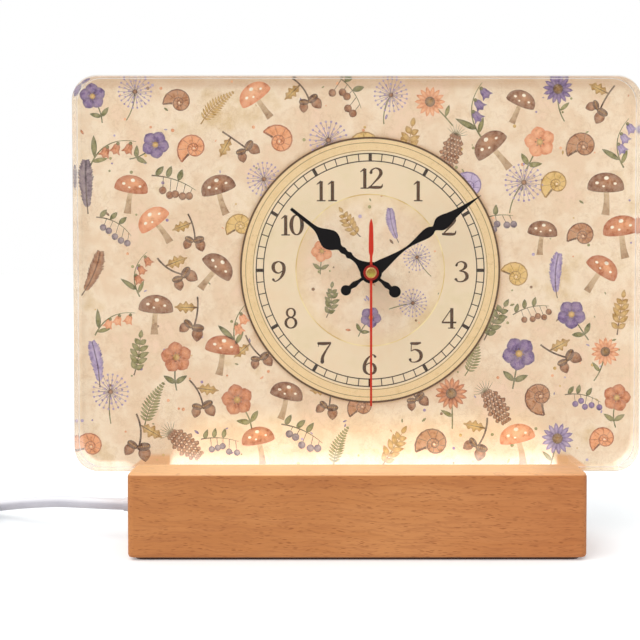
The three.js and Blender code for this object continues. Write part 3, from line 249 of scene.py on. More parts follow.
def make_tie(middle, outer):
    """A flat band round the coil's turns. It's thin where it passes under them."""
    inner = outer - COIL_PITCH * (COIL_WHOLE_TURNS + 1) / 2
    low, high = inner - CORD_RADIUS - TIE_GAP, outer + CORD_RADIUS + TIE_GAP
    top = CORD_LIE + COIL_PITCH + CORD_RADIUS + TIE_GAP
    out = Vector((math.cos(TIE_ANGLE), math.sin(TIE_ANGLE), 0))
    along = Vector((-out.y, out.x, 0)) * (TIE_WIDTH / 2)
    corners = [
        (high - TIE_CORNER, TIE_CORNER), (high - TIE_CORNER, top - TIE_CORNER),
        (low + TIE_CORNER, top - TIE_CORNER), (low + TIE_CORNER, TIE_CORNER),
    ]
    rings = []
    for quarter, (across, height) in enumerate(corners, start=-1):
        for step in range(TIE_STEPS + 1):
            angle = math.pi / 2 * (quarter + step / TIE_STEPS)
            ring = []
            for reach, side in ((0, -1), (0, 1), (TIE_THICKNESS, 1), (TIE_THICKNESS, -1)):
                bow = cmath.rect(TIE_CORNER + reach, angle)
                place = middle + out * (across + bow.real) + along * side
                place.z = max(height + bow.imag, 0 if reach else TIE_UNDER)
                ring.append(place)
            rings.append(ring)
    return loft("cable_tie", rings, "base", tie_fabric(), closed=True)


# Materials: sums on sockets, and the node tree of one material

class Wire:
    """A value in a material's node tree. Sums and products of wires add their own Math nodes."""

    def __init__(self, paint, socket):
        self.paint = paint
        self.socket = socket

    def maths(self, operation, *values):
        return self.paint.node("Math", {"operation": operation}, dict(enumerate((self, *values))))

    def __add__(self, other):
        return self.maths("ADD", other)

    def __sub__(self, other):
        return self.maths("SUBTRACT", other)

    def __rsub__(self, other):
        return self.maths("MULTIPLY_ADD", -1, other)

    def __mul__(self, other):
        return self.maths("MULTIPLY", other)

    def __truediv__(self, other):
        return self.maths("DIVIDE", other)

    def __pow__(self, other):
        return self.maths("POWER", other)

    def __mod__(self, other):
        return self.maths("FLOORED_MODULO", other)

    def __gt__(self, limit):
        return self.maths("GREATER_THAN", limit)

    def __lt__(self, limit):
        return self.maths("LESS_THAN", limit)

    def __abs__(self):
        return self.maths("ABSOLUTE")

    __radd__ = __add__
    __rmul__ = __mul__

    def falling(self, reach):
        """Falls from 1 by a factor of e each time this value grows by reach."""
        return (self * (-1 / reach)).maths("EXPONENT")

    def ease(self, start, end, low=0.0, high=1.0):
        """Runs smoothly from low to high while this value runs from start to end."""
        sockets = {"Value": self, "From Min": start, "From Max": end, "To Min": low, "To Max": high}
        return self.paint.node("MapRange", {"interpolation_type": "SMOOTHSTEP"}, sockets)

    def band(self, low, high, soft=0.05):
        """1 while this value is between low and high, with soft edges."""
        return self.ease(low - soft, low + soft) * self.ease(high - soft, high + soft, 1.0, 0.0)


class Tree:
    """A node tree of a material or of the world."""

    def __init__(self, owner):
        owner.use_nodes = True
        self.tree = owner.node_tree

    def join(self, socket, value):
        if isinstance(value, Wire):
            self.tree.links.new(value.socket, socket)
        elif socket.type == "RGBA":
            socket.default_value = (*value[:3], 1)
        else:
            socket.default_value = value

    def node(self, kind, settings=None, sockets=None, out=0):
        made = self.tree.nodes.new("ShaderNode" + kind)
        for name, value in (settings or {}).items():
            if name == "stops":
                self.set_stops(made.color_ramp.elements, value)
            else:
                setattr(made, name, value)
        for key, value in (sockets or {}).items():
            self.join(made.inputs[key], value)
        return Wire(self, made.outputs[out])

    def set_stops(self, elements, stops):
        while len(elements) < len(stops):
            elements.new(1)
        for element, (position, colour) in zip(elements, stops):
            element.position = position
            element.color = (*colour, 1)

    def ramp(self, value, *stops):
        """A colour chosen by a value from 0 to 1, from stops of (position, colour)."""
        return self.node("ValToRGB", {"stops": stops}, {"Fac": value})

    def mix(self, share, first, second, blend="MIX"):
        settings = {"data_type": "RGBA", "blend_type": blend, "clamp_factor": True}
        return self.node("Mix", settings, {0: share, 6: first, 7: second}, out=2)


NOISE_SPAN = (0.3, 0.7)  # most of a noise's values lie between these


class Paint(Tree):
    """One material with a Principled shader. Fixed values are given by their socket's name."""

    def __init__(self, name, **fixed):
        self.material = bpy.data.materials.new(name)
        super().__init__(self.material)
        self.surface = self.tree.nodes["Principled BSDF"]
        for socket, value in fixed.items():
            self.feed(socket.replace("_", " "), value)

    def feed(self, socket, value):
        self.join(self.surface.inputs[socket], value)

    def place(self, stretch=(1, 1, 1)):
        """The point on the piece in millimetres, each axis times its own stretch."""
        point = self.node("TexCoord", out=3)
        return self.node(
            "VectorMath", {"operation": "MULTIPLY"}, {0: point, 1: tuple(s / MM for s in stretch)}
        )

    def axes(self):
        split = self.node("SeparateXYZ", sockets={0: self.place()}).socket.node
        return [Wire(self, output) for output in split.outputs]

    def noise(self, size, detail=3.0, rough=0.5, stretch=(1, 1, 1), at=None):
        """Cloudy noise from 0 to 1, in patches about size millimetres across."""
        point = at or self.place(stretch)
        sockets = {"Vector": point, "Scale": 1 / size, "Detail": detail, "Roughness": rough}
        return self.node("TexNoise", sockets=sockets)

    def cells(self, size, stretch=(1, 1, 1), at=None):
        """The distance to the nearest of points strewn about size millimetres apart."""
        point = at or self.place(stretch)
        return self.node("TexVoronoi", sockets={"Vector": point, "Scale": 1 / size})

    def roughen(self, cloud, smooth, rough):
        """Lets the roughness follow a noise from smooth to rough."""
        self.feed("Roughness", cloud.ease(*NOISE_SPAN, smooth, rough))

    def bump(self, height, strength, depth=0.1):
        """Raises the surface by height, from 0 to 1, times depth millimetres."""
        sockets = {"Height": height, "Strength": strength, "Distance": depth * MM}
        self.feed("Normal", self.node("Bump", sockets=sockets))


def tone(red, green, blue):
    """A colour as a screen shows it, from 0 to 255, in the linear values that sockets take."""
    shares = [part / 255 for part in (red, green, blue)]
    return tuple(s / 12.92 if s <= 0.04045 else ((s + 0.055) / 1.055) ** 2.4 for s in shares)


# Finishes of the base and the cable

# How much the hairs and the flecks of the grain are squeezed along X, and spread across it
GRAIN_HAIRS = (0.08, 1)
GRAIN_FLECKS = (0.19, 1.55)
GRAIN_SINK = 0.025
GRAIN_LONG = (0.5, 1, 1)
LIP_LIGHT = 0.54
LIP_TINT = (1, 0.78, 0.49)
LIP_GAIN = (1.9, 3.4, 5.2)


def beech():
    paint = Paint("oiled_beech", IOR=1.45, Specular_IOR_Level=0.35)
    x, y, z = paint.axes()
    # The grain runs along X in slow waves that sink a little to the right
    wave = paint.noise(24, 2.0, 0.5, (0.6, 1, 1)) * 5 + paint.noise(5, 2.0, 0.5, GRAIN_LONG) * 2
    across = z + wave + x * GRAIN_SINK
    hairs, flecks = [
        paint.node("CombineXYZ", sockets={0: x * squeeze, 1: y, 2: across * spread})
        for squeeze, spread in (GRAIN_HAIRS, GRAIN_FLECKS)
    ]
    cloud = paint.noise(42, 2.0, 0.5, GRAIN_LONG)
    streak = paint.noise(4.5, 4.0, 0.6, at=hairs)
    hair = paint.noise(0.6, 2.0, 0.6, at=hairs)
    wood = paint.ramp(
        cloud * 0.55 + streak * 0.45,
        (0.30, tone(173, 107, 57)), (0.48, tone(187, 122, 68)), (0.62, tone(196, 133, 79)),
    )
    wood = paint.mix(hair.ease(0.44, 0.66, 0.0, 0.36), wood, tone(160, 98, 58))
    # Painted shade: the wood grows darker and redder towards the right, away from the lamp
    right_shade = x.ease(0, 80, 0.0, 0.6)
    wood = paint.mix(right_shade, wood, tone(235, 212, 200), "MULTIPLY")
    # Beech's rays show as short dark flecks along the grain
    strewn = paint.cells(0.52, at=flecks).ease(0.16, 0.42, 1.0, 0.0)
    fleck = strewn * paint.noise(1.3, 1.0, 0.5, at=flecks).ease(0.42, 0.62)
    wood = paint.mix(fleck * 0.8, wood, tone(132, 72, 36))
    # The chips' light spills over the groove's front lip
    lip = z.ease(BASE_HIGH.z - 0.9, BASE_HIGH.z - 0.5) * (y < 0)
    spill = lip * abs(x).ease(50, 75, 1.0, 0.78) * x.ease(45, 75, 1.0, 0.8)
    lit = paint.mix(0.35, LIP_TINT, paint.mix(1.0, wood, LIP_GAIN, "MULTIPLY"))
    paint.feed("Base Color", wood)
    paint.feed("Emission Color", paint.mix(spill, (0, 0, 0), lit))
    paint.feed("Emission Strength", LIP_LIGHT)
    paint.roughen(streak, 0.42, 0.58)
    paint.bump(hair * 0.5 + fleck * -0.6 + streak * 0.3, 0.35, 0.08)
    return paint.material


def pad_rubber():
    paint = Paint("pad_rubber_sheet", Roughness=0.8)
    pores = paint.cells(0.9)
    grain = paint.noise(0.3, 3.0)
    paint.feed("Base Color", paint.mix(grain, tone(58, 34, 28), tone(80, 54, 46)))
    paint.bump(pores.ease(0.1, 0.5) + grain * 0.3, 0.5, 0.1)
    return paint.material


def moulded_black(name="moulded_black", size=0.22):
    """Black plastic with the fine spark-eroded texture of a mould."""
    paint = Paint(name, IOR=1.5)
    grain = paint.noise(size, 3.0, 0.6)
    cloud = paint.noise(14, 2.0)
    shade = grain * 0.6 + cloud * 0.4
    paint.feed("Base Color", paint.ramp(shade, (0.3, tone(24, 24, 26)), (0.7, tone(44, 44, 47))))
    paint.roughen(grain, 0.42, 0.62)
    paint.bump(grain, 0.4, 0.06)
    return paint.material


def cord_plastic(name):
    """The cable's soft white plastic, with the faint ridges that its wires leave."""
    paint = Paint(name, IOR=1.46)
    cloud = paint.noise(9, 3.0)
    grain = paint.noise(0.4, 2.0)
    upper_side_light = paint.node("SeparateXYZ", sockets={0: paint.node("NewGeometry", out=1)}, out=2)
    shade = paint.ramp(cloud, (0.3, tone(184, 182, 190)), (0.7, tone(194, 192, 199)))
    # Painted shading: surfaces that face up are lighter, and the underside is greyer
    paint.feed("Base Color", paint.mix(upper_side_light.ease(0.0, 0.85), shade, tone(238, 237, 241)))
    paint.roughen(cloud, 0.32, 0.42)
    paint.bump(grain * 0.5 + cloud * 0.5, 0.2, 0.08)
    return paint.material


def tie_fabric():
    """Woven hook-and-loop tape."""
    paint = Paint("tie_tape", Roughness=0.9, Sheen_Weight=0.3)
    weave = paint.cells(0.55)
    fuzz = paint.noise(0.25, 3.0)
    tape = paint.mix(weave.ease(0.1, 0.6), tone(206, 203, 208), tone(164, 160, 166))
    paint.feed("Base Color", tape)
    paint.bump(weave * 0.7 + fuzz * 0.4, 0.6, 0.15)
    return paint.material


GRIP_RIB_PITCH = 2.4
GRIP_MIDDLE = 12  # from the plug's front
GRIP_REACH = (7, 16.5)


def plug_white():
    paint = Paint("plug_plastic", IOR=1.46)
    cloud = paint.noise(11, 2.0)
    grain = paint.noise(0.3, 2.0)
    # Three shallow grip ribs on each broad face
    _, y, _ = paint.axes()
    ribs = (abs(y - (PLUG_LOW.y + GRIP_MIDDLE)) % GRIP_RIB_PITCH).band(0.5, 1.3, 0.25)
    reach = y.band(PLUG_LOW.y + GRIP_REACH[0], PLUG_LOW.y + GRIP_REACH[1], 0.3)
    shade = paint.ramp(cloud, (0.3, tone(214, 211, 217)), (0.7, tone(229, 227, 231)))
    paint.feed("Base Color", shade)
    paint.roughen(cloud, 0.38, 0.5)
    paint.bump(grain * 0.15 - ribs * reach, 0.8, 0.4)
    return paint.material


def metal(name, dark, light, rough=0.28, size=2.0, stretch=(1, 1, 1)):
    """Bare metal with fine drawing marks and a clouded shine."""
    paint = Paint(name, Metallic=1.0)
    marks = paint.noise(size, 4.0, 0.65, stretch)
    cloud = paint.noise(size * 8, 2.0)
    paint.feed("Base Color", paint.mix(marks * 0.6 + cloud * 0.4, dark, light))
    paint.roughen(marks, rough - 0.07, rough + 0.1)
    paint.bump(marks, 0.15, 0.03)
    return paint.material


PAD_PITCH = 2.5
PAD_HALF = 0.5
PAD_ROW_HALF = 4.9


def plug_tongue():
    """The plug's insulator with its four gold contacts."""
    paint = Paint("plug_tongue", Roughness=0.35)
    x, y, _ = paint.axes()
    middle = (TONGUE_LOW.x + TONGUE_HIGH.x) / 2
    pads = abs((x - middle) % PAD_PITCH - PAD_PITCH / 2).ease(PAD_HALF, PAD_HALF + 0.06, 1.0, 0.0)
    tip = y.ease(TONGUE_LOW.y + 0.6, TONGUE_LOW.y + 0.9)
    gold = pads * tip * (abs(x - middle) < PAD_ROW_HALF)
    grain = paint.noise(0.4, 2.0)
    plain = paint.mix(grain, tone(235, 235, 238), tone(220, 220, 225))
    paint.feed("Base Color", paint.mix(gold, plain, tone(214, 172, 84)))
    paint.feed("Metallic", gold)
    paint.roughen(grain, 0.3, 0.42)
    return paint.material


CHIP_HEIGHT = 0.7
CHIP_HALF_DEPTH = 1.5
CHIP_LIGHT = 3.0


def light_board():
    """The light board's white solder mask, with warm lit chips standing on it."""
    paint = Paint("light_board_mask", Roughness=0.5)
    _, y, z = paint.axes()
    foot = BOARD_HIGH.z - CHIP_HEIGHT
    chip = z.ease(foot - 0.05, foot + 0.05) * (abs(y) < CHIP_HALF_DEPTH)
    grain = paint.noise(0.6, 3.0)
    mask = paint.mix(grain, tone(232, 232, 226), tone(218, 219, 212))
    paint.feed("Base Color", paint.mix(chip, mask, tone(250, 214, 120)))
    paint.feed("Emission Color", paint.mix(chip, (0, 0, 0), tone(255, 226, 150)))
    paint.feed("Emission Strength", CHIP_LIGHT)
    paint.bump(grain, 0.2, 0.05)
    return paint.material


# Finishes of the block and the print

GLOW_MIDDLE = 2.4
GLOW_SIDE = 67.2  # half the width of the lit stretch at the base's top
GLOW_SPREAD = -0.3
GLOW_FAR_TINT = (1, 0.86, 0.38)
# Parts of the light: the heights above the base between which each fades, its strength, and how
# far past the stretch's side it starts and ends to fade
GLOW_NEAR = (-1, 11.5, 0.64, -2.5, 1)
GLOW_FOOT = (-1, 4, 0.3, -1.5, 0)
GLOW_FAR = (8, 21, 0.28, -12, 5)
DIM_LIGHT = (0.07, 0.07, 0.065)
HUB_TINT = (1, 0.93, 0.82)
HUB_SPOT = complex(1, -1.5)  # from the hands' axis
HUB_FADE = 9
HUB_LIGHT = 0.12
CORNER_LIGHT = 0.3
TOP_LIGHT = 0.09


def glow(paint):
    """The chips' light on the print: white at its foot, and fainter and more golden upwards."""
    x, _, z = paint.axes()
    rise = z - BASE_HIGH.z
    side = abs(x - GLOW_MIDDLE) - rise * GLOW_SPREAD
    near, foot, far = [
        rise.ease(low, high, strength, 0.0)
        * side.ease(GLOW_SIDE + start, GLOW_SIDE + end, 1.0, 0.0)
        for low, high, strength, start, end in (GLOW_NEAR, GLOW_FOOT, GLOW_FAR)
    ]
    # Some light stays under the hub, which shades the print
    spot = AXIS + HUB_SPOT
    hub = ((x - spot.real) ** 2 + (z - spot.imag) ** 2) ** 0.5
    dim = paint.mix(hub.falling(HUB_FADE) * HUB_LIGHT, DIM_LIGHT, HUB_TINT)
    lit = paint.mix(near, paint.mix(far, dim, GLOW_FAR_TINT), (1, 1, 1))
    # Some of it travels inside the block and comes out at its edges, most at the lower corners
    past = [
        abs(value - (low + high) / 2) - ((high - low) / 2 - BLOCK_CORNER)
        for value, low, high in ((x, BLOCK_LOW.x, BLOCK_HIGH.x), (z, BLOCK_LOW.z, BLOCK_HIGH.z))
    ]
    across, up = [value.maths("MAXIMUM", 0) for value in past]
    inward = past[0].maths("MAXIMUM", past[1]).maths("MINIMUM", 0)
    depth = BLOCK_CORNER - (across ** 2 + up ** 2) ** 0.5 - inward
    fainter = x.ease(20, 60) * x.ease(BLOCK_HIGH.x - 10, BLOCK_HIGH.x - 5, 0.85, 0.0)
    beyond = abs(x).ease(BASE_HIGH.x + 1, BASE_HIGH.x + 6)
    low = z.ease(BLOCK_LOW.z + 3, BLOCK_LOW.z + 16, 1.0, 0.0) * beyond * (1 - fainter)
    top = z.ease(BLOCK_HIGH.z - 12, BLOCK_HIGH.z - 5, 1.0, 0.0)
    edge = (depth - low * 1.2).ease(0.3, 1.6, 1.0, 0.0) * (low * CORNER_LIGHT + top * TOP_LIGHT)
    edge = edge + foot
    return paint.mix(edge, lit, (1, 1, 1)), edge


WALL_TURN = (0.55, 0.8)  # how far a face has to turn to the side or up to count as a wall
SIDE_HAZE = 0.14
FOOT_HAZE = 0.5
TOP_HAZE = 0.08
WALL_LIGHT_SHARE = 0.62
EDGE_LIGHT = 0.9
EDGE_SHARE = 0.85


def clear_acrylic():
    """Clear acrylic. Lamps shine through it, and its cut edges scatter some of their light."""
    paint = Paint(
        "clear_acrylic", Base_Color=(1, 1, 1), Transmission_Weight=1.0, IOR=1.49, Roughness=0.0
    )
    clear = paint.node("BsdfTransparent", sockets={"Color": (0.96, 0.97, 0.96)})
    haze = paint.node("BsdfTranslucent", sockets={"Color": (1, 0.98, 0.94)})
    output = paint.tree.nodes["Material Output"]
    shadow = paint.node("LightPath", out=1)
    glass = Wire(paint, paint.surface.outputs[0])
    normal = paint.node("NewGeometry", out=1)
    side, up = [abs(paint.node("SeparateXYZ", sockets={0: normal}, out=out)) for out in (0, 2)]
    _, y, z = paint.axes()
    upper = z > (BLOCK_LOW.z + BLOCK_HIGH.z) / 2
    haze_up = FOOT_HAZE - upper * (FOOT_HAZE - TOP_HAZE)
    wall = side.ease(*WALL_TURN) * SIDE_HAZE + up.ease(*WALL_TURN) * haze_up
    wall = wall * y.band(BLOCK_LOW.y + 0.9, BLOCK_HIGH.y - 0.3, 0.2) * (z > BLOCK_LOW.z + 0.5)
    cut = paint.node("MixShader", sockets={0: wall, 1: glass, 2: haze})
    # From outside, the polished walls get a cream diffuse coat: painted light for the print's light
    # that runs along inside them
    wall_light_coat = paint.node("BsdfDiffuse", sockets={"Color": (0.93, 0.87, 0.77)})
    outside = 1 - paint.node("NewGeometry", out=6)
    outer = side.maths("MAXIMUM", up).ease(*WALL_TURN, 0.0, WALL_LIGHT_SHARE) * outside
    cut = paint.node("MixShader", sockets={0: outer, 1: cut, 2: wall_light_coat})
    # The light that comes out at the rounded front edge
    shine = paint.node("Emission", sockets={"Color": (1, 0.97, 0.92), "Strength": EDGE_LIGHT})
    round_edge = (side.ease(0.45, 0.8) + up.ease(0.2, 0.55) * upper).maths("MINIMUM", EDGE_SHARE)
    round_edge = round_edge * (y < BLOCK_LOW.y + 0.78)
    cut = paint.node("MixShader", sockets={0: round_edge, 1: cut, 2: shine})
    both = paint.node("MixShader", sockets={0: shadow, 1: cut, 2: clear})
    paint.join(output.inputs["Surface"], both)
    paint.bump(paint.noise(45, 1.0), 0.05, 0.05)
    return paint.material


HALO_REACH = 0.72
HALO_SHARE = 0.66
TOP_SHADE_STRIP = (4.5, 1.8)  # a painted shade strip, from the block's top edge
# The base's top, as a painted reflection: the heights above the base where it fades, and where its
# end slants
SHINE_HEIGHTS = (1, 2.8)
SHINE_MIDDLE = 0.9
SHINE_SLANT = 1.33
SHINE_END = (75.2, 76.4)


def parchment(paint):
    """The print's ground: mottled cream with tan patches and a darker edge round the dial."""
    broad = paint.noise(34, 3.0, 0.55)
    patch = paint.noise(9, 5.0, 0.65)
    speck = paint.noise(0.8, 2.0, 0.7)
    ground = paint.ramp(
        broad * 0.45 + patch * 0.55,
        (0.32, tone(241, 209, 182)), (0.44, tone(231, 202, 169)),
        (0.54, tone(240, 218, 190)), (0.66, tone(222, 192, 148)),
    )
    crease = abs(paint.noise(14, 5.0, 0.7) - 0.5).ease(0.0, 0.022, 0.2, 0.0)
    ground = paint.mix(crease, ground, tone(196, 156, 110))
    ground = paint.mix(speck.ease(0.62, 0.78, 0.0, 0.18), ground, tone(206, 172, 128))
    reach = dial_axes(paint)[2]
    halo = (reach - DIAL_OUTER).falling(HALO_REACH) * HALO_SHARE * (reach > DIAL_INNER + 5)
    inside = reach.ease(DIAL_INNER - 5, DIAL_INNER - 0.5, 0.0, 0.4) * (reach < DIAL_INNER + 5)
    ground = paint.mix(inside, ground, tone(228, 199, 148))
    # Painted shade in a darker strip under the top edge, and a painted reflection of the base's
    # brown top beside the lit stretch
    x, _, z = paint.axes()
    top_shade = z.ease(*(BLOCK_HIGH.z - below for below in TOP_SHADE_STRIP), 0.0, 0.42)
    ground = paint.mix(top_shade, ground, tone(196, 150, 110))
    rise = z - BASE_HIGH.z
    beside = abs(x - GLOW_MIDDLE).ease(GLOW_SIDE - 0.4, GLOW_SIDE + 0.2)
    slanted = abs(x - SHINE_MIDDLE) + rise * SHINE_SLANT
    shine = rise.ease(*SHINE_HEIGHTS, 0.8, 0.0) * beside * slanted.ease(*SHINE_END, 1.0, 0.0)
    ground = paint.mix(shine, ground, tone(226, 168, 116))
    return paint.mix(halo, ground, tone(160, 104, 30))


def print_finish(paint, colour):
    """Lays a colour on the print, which shows brighter and warmer where the chips light it."""
    light, edge = glow(paint)
    whiter = paint.mix(edge * 1.5 + 0.1, colour, (1, 1, 1))
    paint.feed("Base Color", colour)
    paint.feed("Emission Color", paint.mix(1.0, whiter, light, "MULTIPLY"))
    paint.feed("Emission Strength", 1.0)
    paint.feed("Roughness", 0.5)
    paint.feed("Specular IOR Level", 0.05)


def printed_ground():
    paint = Paint("printed_ground")
    _, y, _ = paint.axes()
    back = y > (FILM_LOW.y + FILM_HIGH.y) / 2
    fibre = paint.noise(0.5, 3.0)
    plain = paint.mix(fibre, tone(238, 236, 230), tone(228, 226, 220))
    print_finish(paint, paint.mix(back, parchment(paint), plain))
    return paint.material


def print_ink():
    """Watercolour inks: each shape's own colour, with pigment that gathers in clouds."""
    paint = Paint("print_ink")
    colour = paint.node("Attribute", {"attribute_name": "ink"})
    pool = paint.noise(1.8, 4.0, 0.65)
    washed = paint.mix(pool.ease(0.3, 0.75, 0.24, 0.0), colour, tone(240, 216, 186))
    deep = paint.mix(pool.ease(0.5, 0.75, 0.0, 0.45), washed, tone(150, 108, 76), "MULTIPLY")
    print_finish(paint, deep)
    return paint.material


# The printed dial sits a little above the hands' axis, and is a little higher than it is wide
DIAL_MIDDLE = AXIS + complex(-0.07, 0.67)
DIAL_STRETCH = (0.989, 1.011)
DIAL_INNER = 25.9
DIAL_OUTER = 45.35
TRACK_INNER = 37.0
TRACK_OUTER = 39.9
RAIL_WIDTH = 0.37
MINUTES = 60
HOURS = 12
MINUTE_BAR = (0.12, 0.21)
HOUR_BAR = (0.52, 0.62)
BAND_REACH = (40.5, 44.9)
BAND_LINES = ((40.68, 40.88), (43.27, 43.47))
RIM_REACH = (44.62, 44.8)


def dial_point(reach, angle=math.pi / 2):
    """A point of the print at so much reach from the dial's middle, turned to an angle from +X."""
    way = cmath.rect(reach, angle)
    return DIAL_MIDDLE + complex(way.real * DIAL_STRETCH[0], way.imag * DIAL_STRETCH[1])


def dial_axes(paint):
    """How far across, up and away from the dial's middle a point lies."""
    x, _, z = paint.axes()
    across = (x - DIAL_MIDDLE.real) / DIAL_STRETCH[0]
    up = (z - DIAL_MIDDLE.imag) / DIAL_STRETCH[1]
    return across, up, (across ** 2 + up ** 2) ** 0.5


def dial_face():
    """The dial's printed ring: cream field, minute track, parchment band and fine lines."""
    paint = Paint("dial_face")
    across, up, reach = dial_axes(paint)
    turn = across.maths("ARCTAN2", up)

    def bars(parts, width):
        """Radial bars at so many equal parts of the turn."""
        part = turn * (parts / (2 * math.pi)) + 0.5
        return (abs(part % 1 - 0.5) * reach * (2 * math.pi / parts)).ease(*width, 1.0, 0.0)

    cloud = paint.noise(16, 3.0, 0.6)
    stain = paint.noise(3, 4.0, 0.6)
    field = paint.ramp(
        cloud * 0.7 + stain * 0.3,
        (0.35, tone(233, 207, 172)), (0.5, tone(234, 212, 179)), (0.65, tone(228, 207, 168)),
    )
    band = paint.ramp(
        stain * 0.6 + cloud * 0.4,
        (0.35, tone(228, 196, 144)), (0.5, tone(234, 204, 155)), (0.65, tone(230, 198, 150)),
    )
    speck = paint.noise(1.1, 3.0, 0.7).ease(0.56, 0.74, 0.0, 0.4)
    band = paint.mix(speck, band, tone(178, 138, 84))
    face = paint.mix(reach.band(*BAND_REACH, 0.06), field, band)
    inner_line, outer_line = [reach.band(*line, 0.06) for line in BAND_LINES]
    face = paint.mix((inner_line + outer_line) * 0.8, face, tone(112, 78, 36))
    rails = reach.band(TRACK_OUTER - RAIL_WIDTH, TRACK_OUTER)
    rails = rails + reach.band(TRACK_INNER, TRACK_INNER + RAIL_WIDTH)
    marks = bars(MINUTES, MINUTE_BAR) + bars(HOURS, HOUR_BAR)
    track = rails + reach.band(TRACK_INNER, TRACK_OUTER) * marks
    face = paint.mix(track, face, tone(56, 34, 12))
    face = paint.mix(reach.ease(*RIM_REACH), face, tone(92, 58, 24))
    print_finish(paint, face)
    return paint.material


def numeral_ink():
    paint = Paint("numeral_ink")
    worn = paint.noise(1.2, 4.0, 0.7)
    print_finish(paint, paint.ramp(
        worn, (0.35, tone(74, 42, 14)), (0.6, tone(90, 56, 24)), (0.75, tone(120, 84, 48)),
    ))
    return paint.material


def roundel_gold():
    paint = Paint("roundel_gold")
    # Painted glints: the gold line is lighter in patches
    painted_glint = paint.noise(9, 2.0)
    colour = paint.ramp(painted_glint, (0.42, tone(212, 176, 104)), (0.62, tone(246, 226, 168)))
    print_finish(paint, colour)
    return paint.material


# Finishes of the hands and the movement

def axis_reach(paint):
    """How far from the hands' axis a point lies."""
    x, _, z = paint.axes()
    return ((x - AXIS.real) ** 2 + (z - AXIS.imag) ** 2) ** 0.5


def cap_brass():
    """The cap's turned brass: a paler rim round a soft dome with a painted reflection."""
    paint = Paint("cap_brass", Metallic=1.0)
    _, _, z = paint.axes()
    marks = paint.noise(0.8, 3.0, 0.6)
    # Painted reflection: the dome is darker and browner at its top, lighter and yellower below
    dome = paint.mix((z - AXIS.imag).ease(-1.1, 0.5), tone(206, 194, 92), tone(176, 140, 74))
    dome = paint.mix(axis_reach(paint).ease(1.25, 1.65), dome, tone(232, 184, 130))
    paint.feed("Base Color", paint.mix(marks * 0.4, dome, tone(150, 122, 62)))
    paint.roughen(marks, 0.24, 0.36)
    return paint.material


def hand_black():
    paint = Paint("hand_lacquer", IOR=1.5, Specular_IOR_Level=0.12)
    grain = paint.noise(0.5, 3.0)
    paint.feed("Base Color", paint.mix(grain, tone(12, 10, 11), tone(24, 21, 22)))
    paint.roughen(grain, 0.42, 0.55)
    paint.bump(grain, 0.2, 0.03)
    return paint.material


def hand_red():
    paint = Paint("second_hand_lacquer", IOR=1.5, Specular_IOR_Level=0.2)
    grain = paint.noise(0.6, 3.0)
    # Painted shade on the collar round the hub, which is darker than the rest of the hand
    collar_shade = axis_reach(paint).ease(2.5, 3.0, 0.75, 0.0)
    lacquer = paint.mix(grain, tone(178, 38, 20), tone(196, 52, 30))
    paint.feed("Base Color", paint.mix(collar_shade, lacquer, tone(132, 26, 24)))
    paint.roughen(grain, 0.35, 0.48)
    paint.bump(grain, 0.15, 0.03)
    return paint.material


def foam_tape():
    paint = Paint("foam_tape", Roughness=0.95)
    pores = paint.cells(0.45)
    foam = paint.mix(pores.ease(0.1, 0.5), tone(196, 194, 186), tone(232, 231, 226))
    paint.feed("Base Color", foam)
    paint.bump(pores, 0.7, 0.15)
    return paint.material


def wheel_plastic():
    paint = Paint("wheel_plastic", IOR=1.5, Roughness=0.4)
    cloud = paint.noise(2.5, 3.0)
    paint.feed("Base Color", paint.mix(cloud, tone(226, 222, 208), tone(240, 238, 228)))
    paint.bump(cloud, 0.1, 0.05)
    return paint.material


WIRE_PITCH = 0.12


def coil_copper():
    """Fine enamelled wire in close turns along the spool."""
    paint = Paint("coil_copper", Metallic=0.8)
    x, _, _ = paint.axes()
    # Painted light on the wire: each turn's crest is lighter, and the grooves between turns are
    # darker
    turns = abs(x % WIRE_PITCH - WIRE_PITCH / 2) * (2 / WIRE_PITCH)
    cloud = paint.noise(3, 3.0)
    shade = turns * 0.6 + cloud * 0.4
    paint.feed("Base Color", paint.mix(shade, tone(126, 62, 30), tone(206, 124, 70)))
    paint.roughen(cloud, 0.25, 0.4)
    paint.bump(turns, 0.5, 0.05)
    return paint.material


TRACK_PITCH = 2.2
TRACK_RUN = 9


def circuit_green():
    """Green solder mask over copper tracks."""
    paint = Paint("circuit_mask", IOR=1.5)
    x, _, z = paint.axes()
    tracks = abs(x % TRACK_PITCH - TRACK_PITCH / 2).band(0.2, 0.5, 0.04)
    tracks = tracks * abs(z % TRACK_RUN - TRACK_RUN / 2).ease(0.6, 0.8)
    fibre = paint.noise(0.5, 3.0)
    mask = paint.mix(fibre, tone(22, 84, 48), tone(30, 98, 58))
    paint.feed("Base Color", paint.mix(tracks, mask, tone(64, 138, 84)))
    paint.roughen(fibre, 0.3, 0.4)
    paint.bump(tracks, 0.4, 0.05)
    return paint.material


CELL_SHOULDER = 1.1
CELL_FOOT = 0.35
CELL_CAP_REACH = 6.4
CELL_CAP_DEPTH = 1.5
COPPER_LENGTH = 15.1
STRIPE = (16.4, 15.6)  # from the cap's end


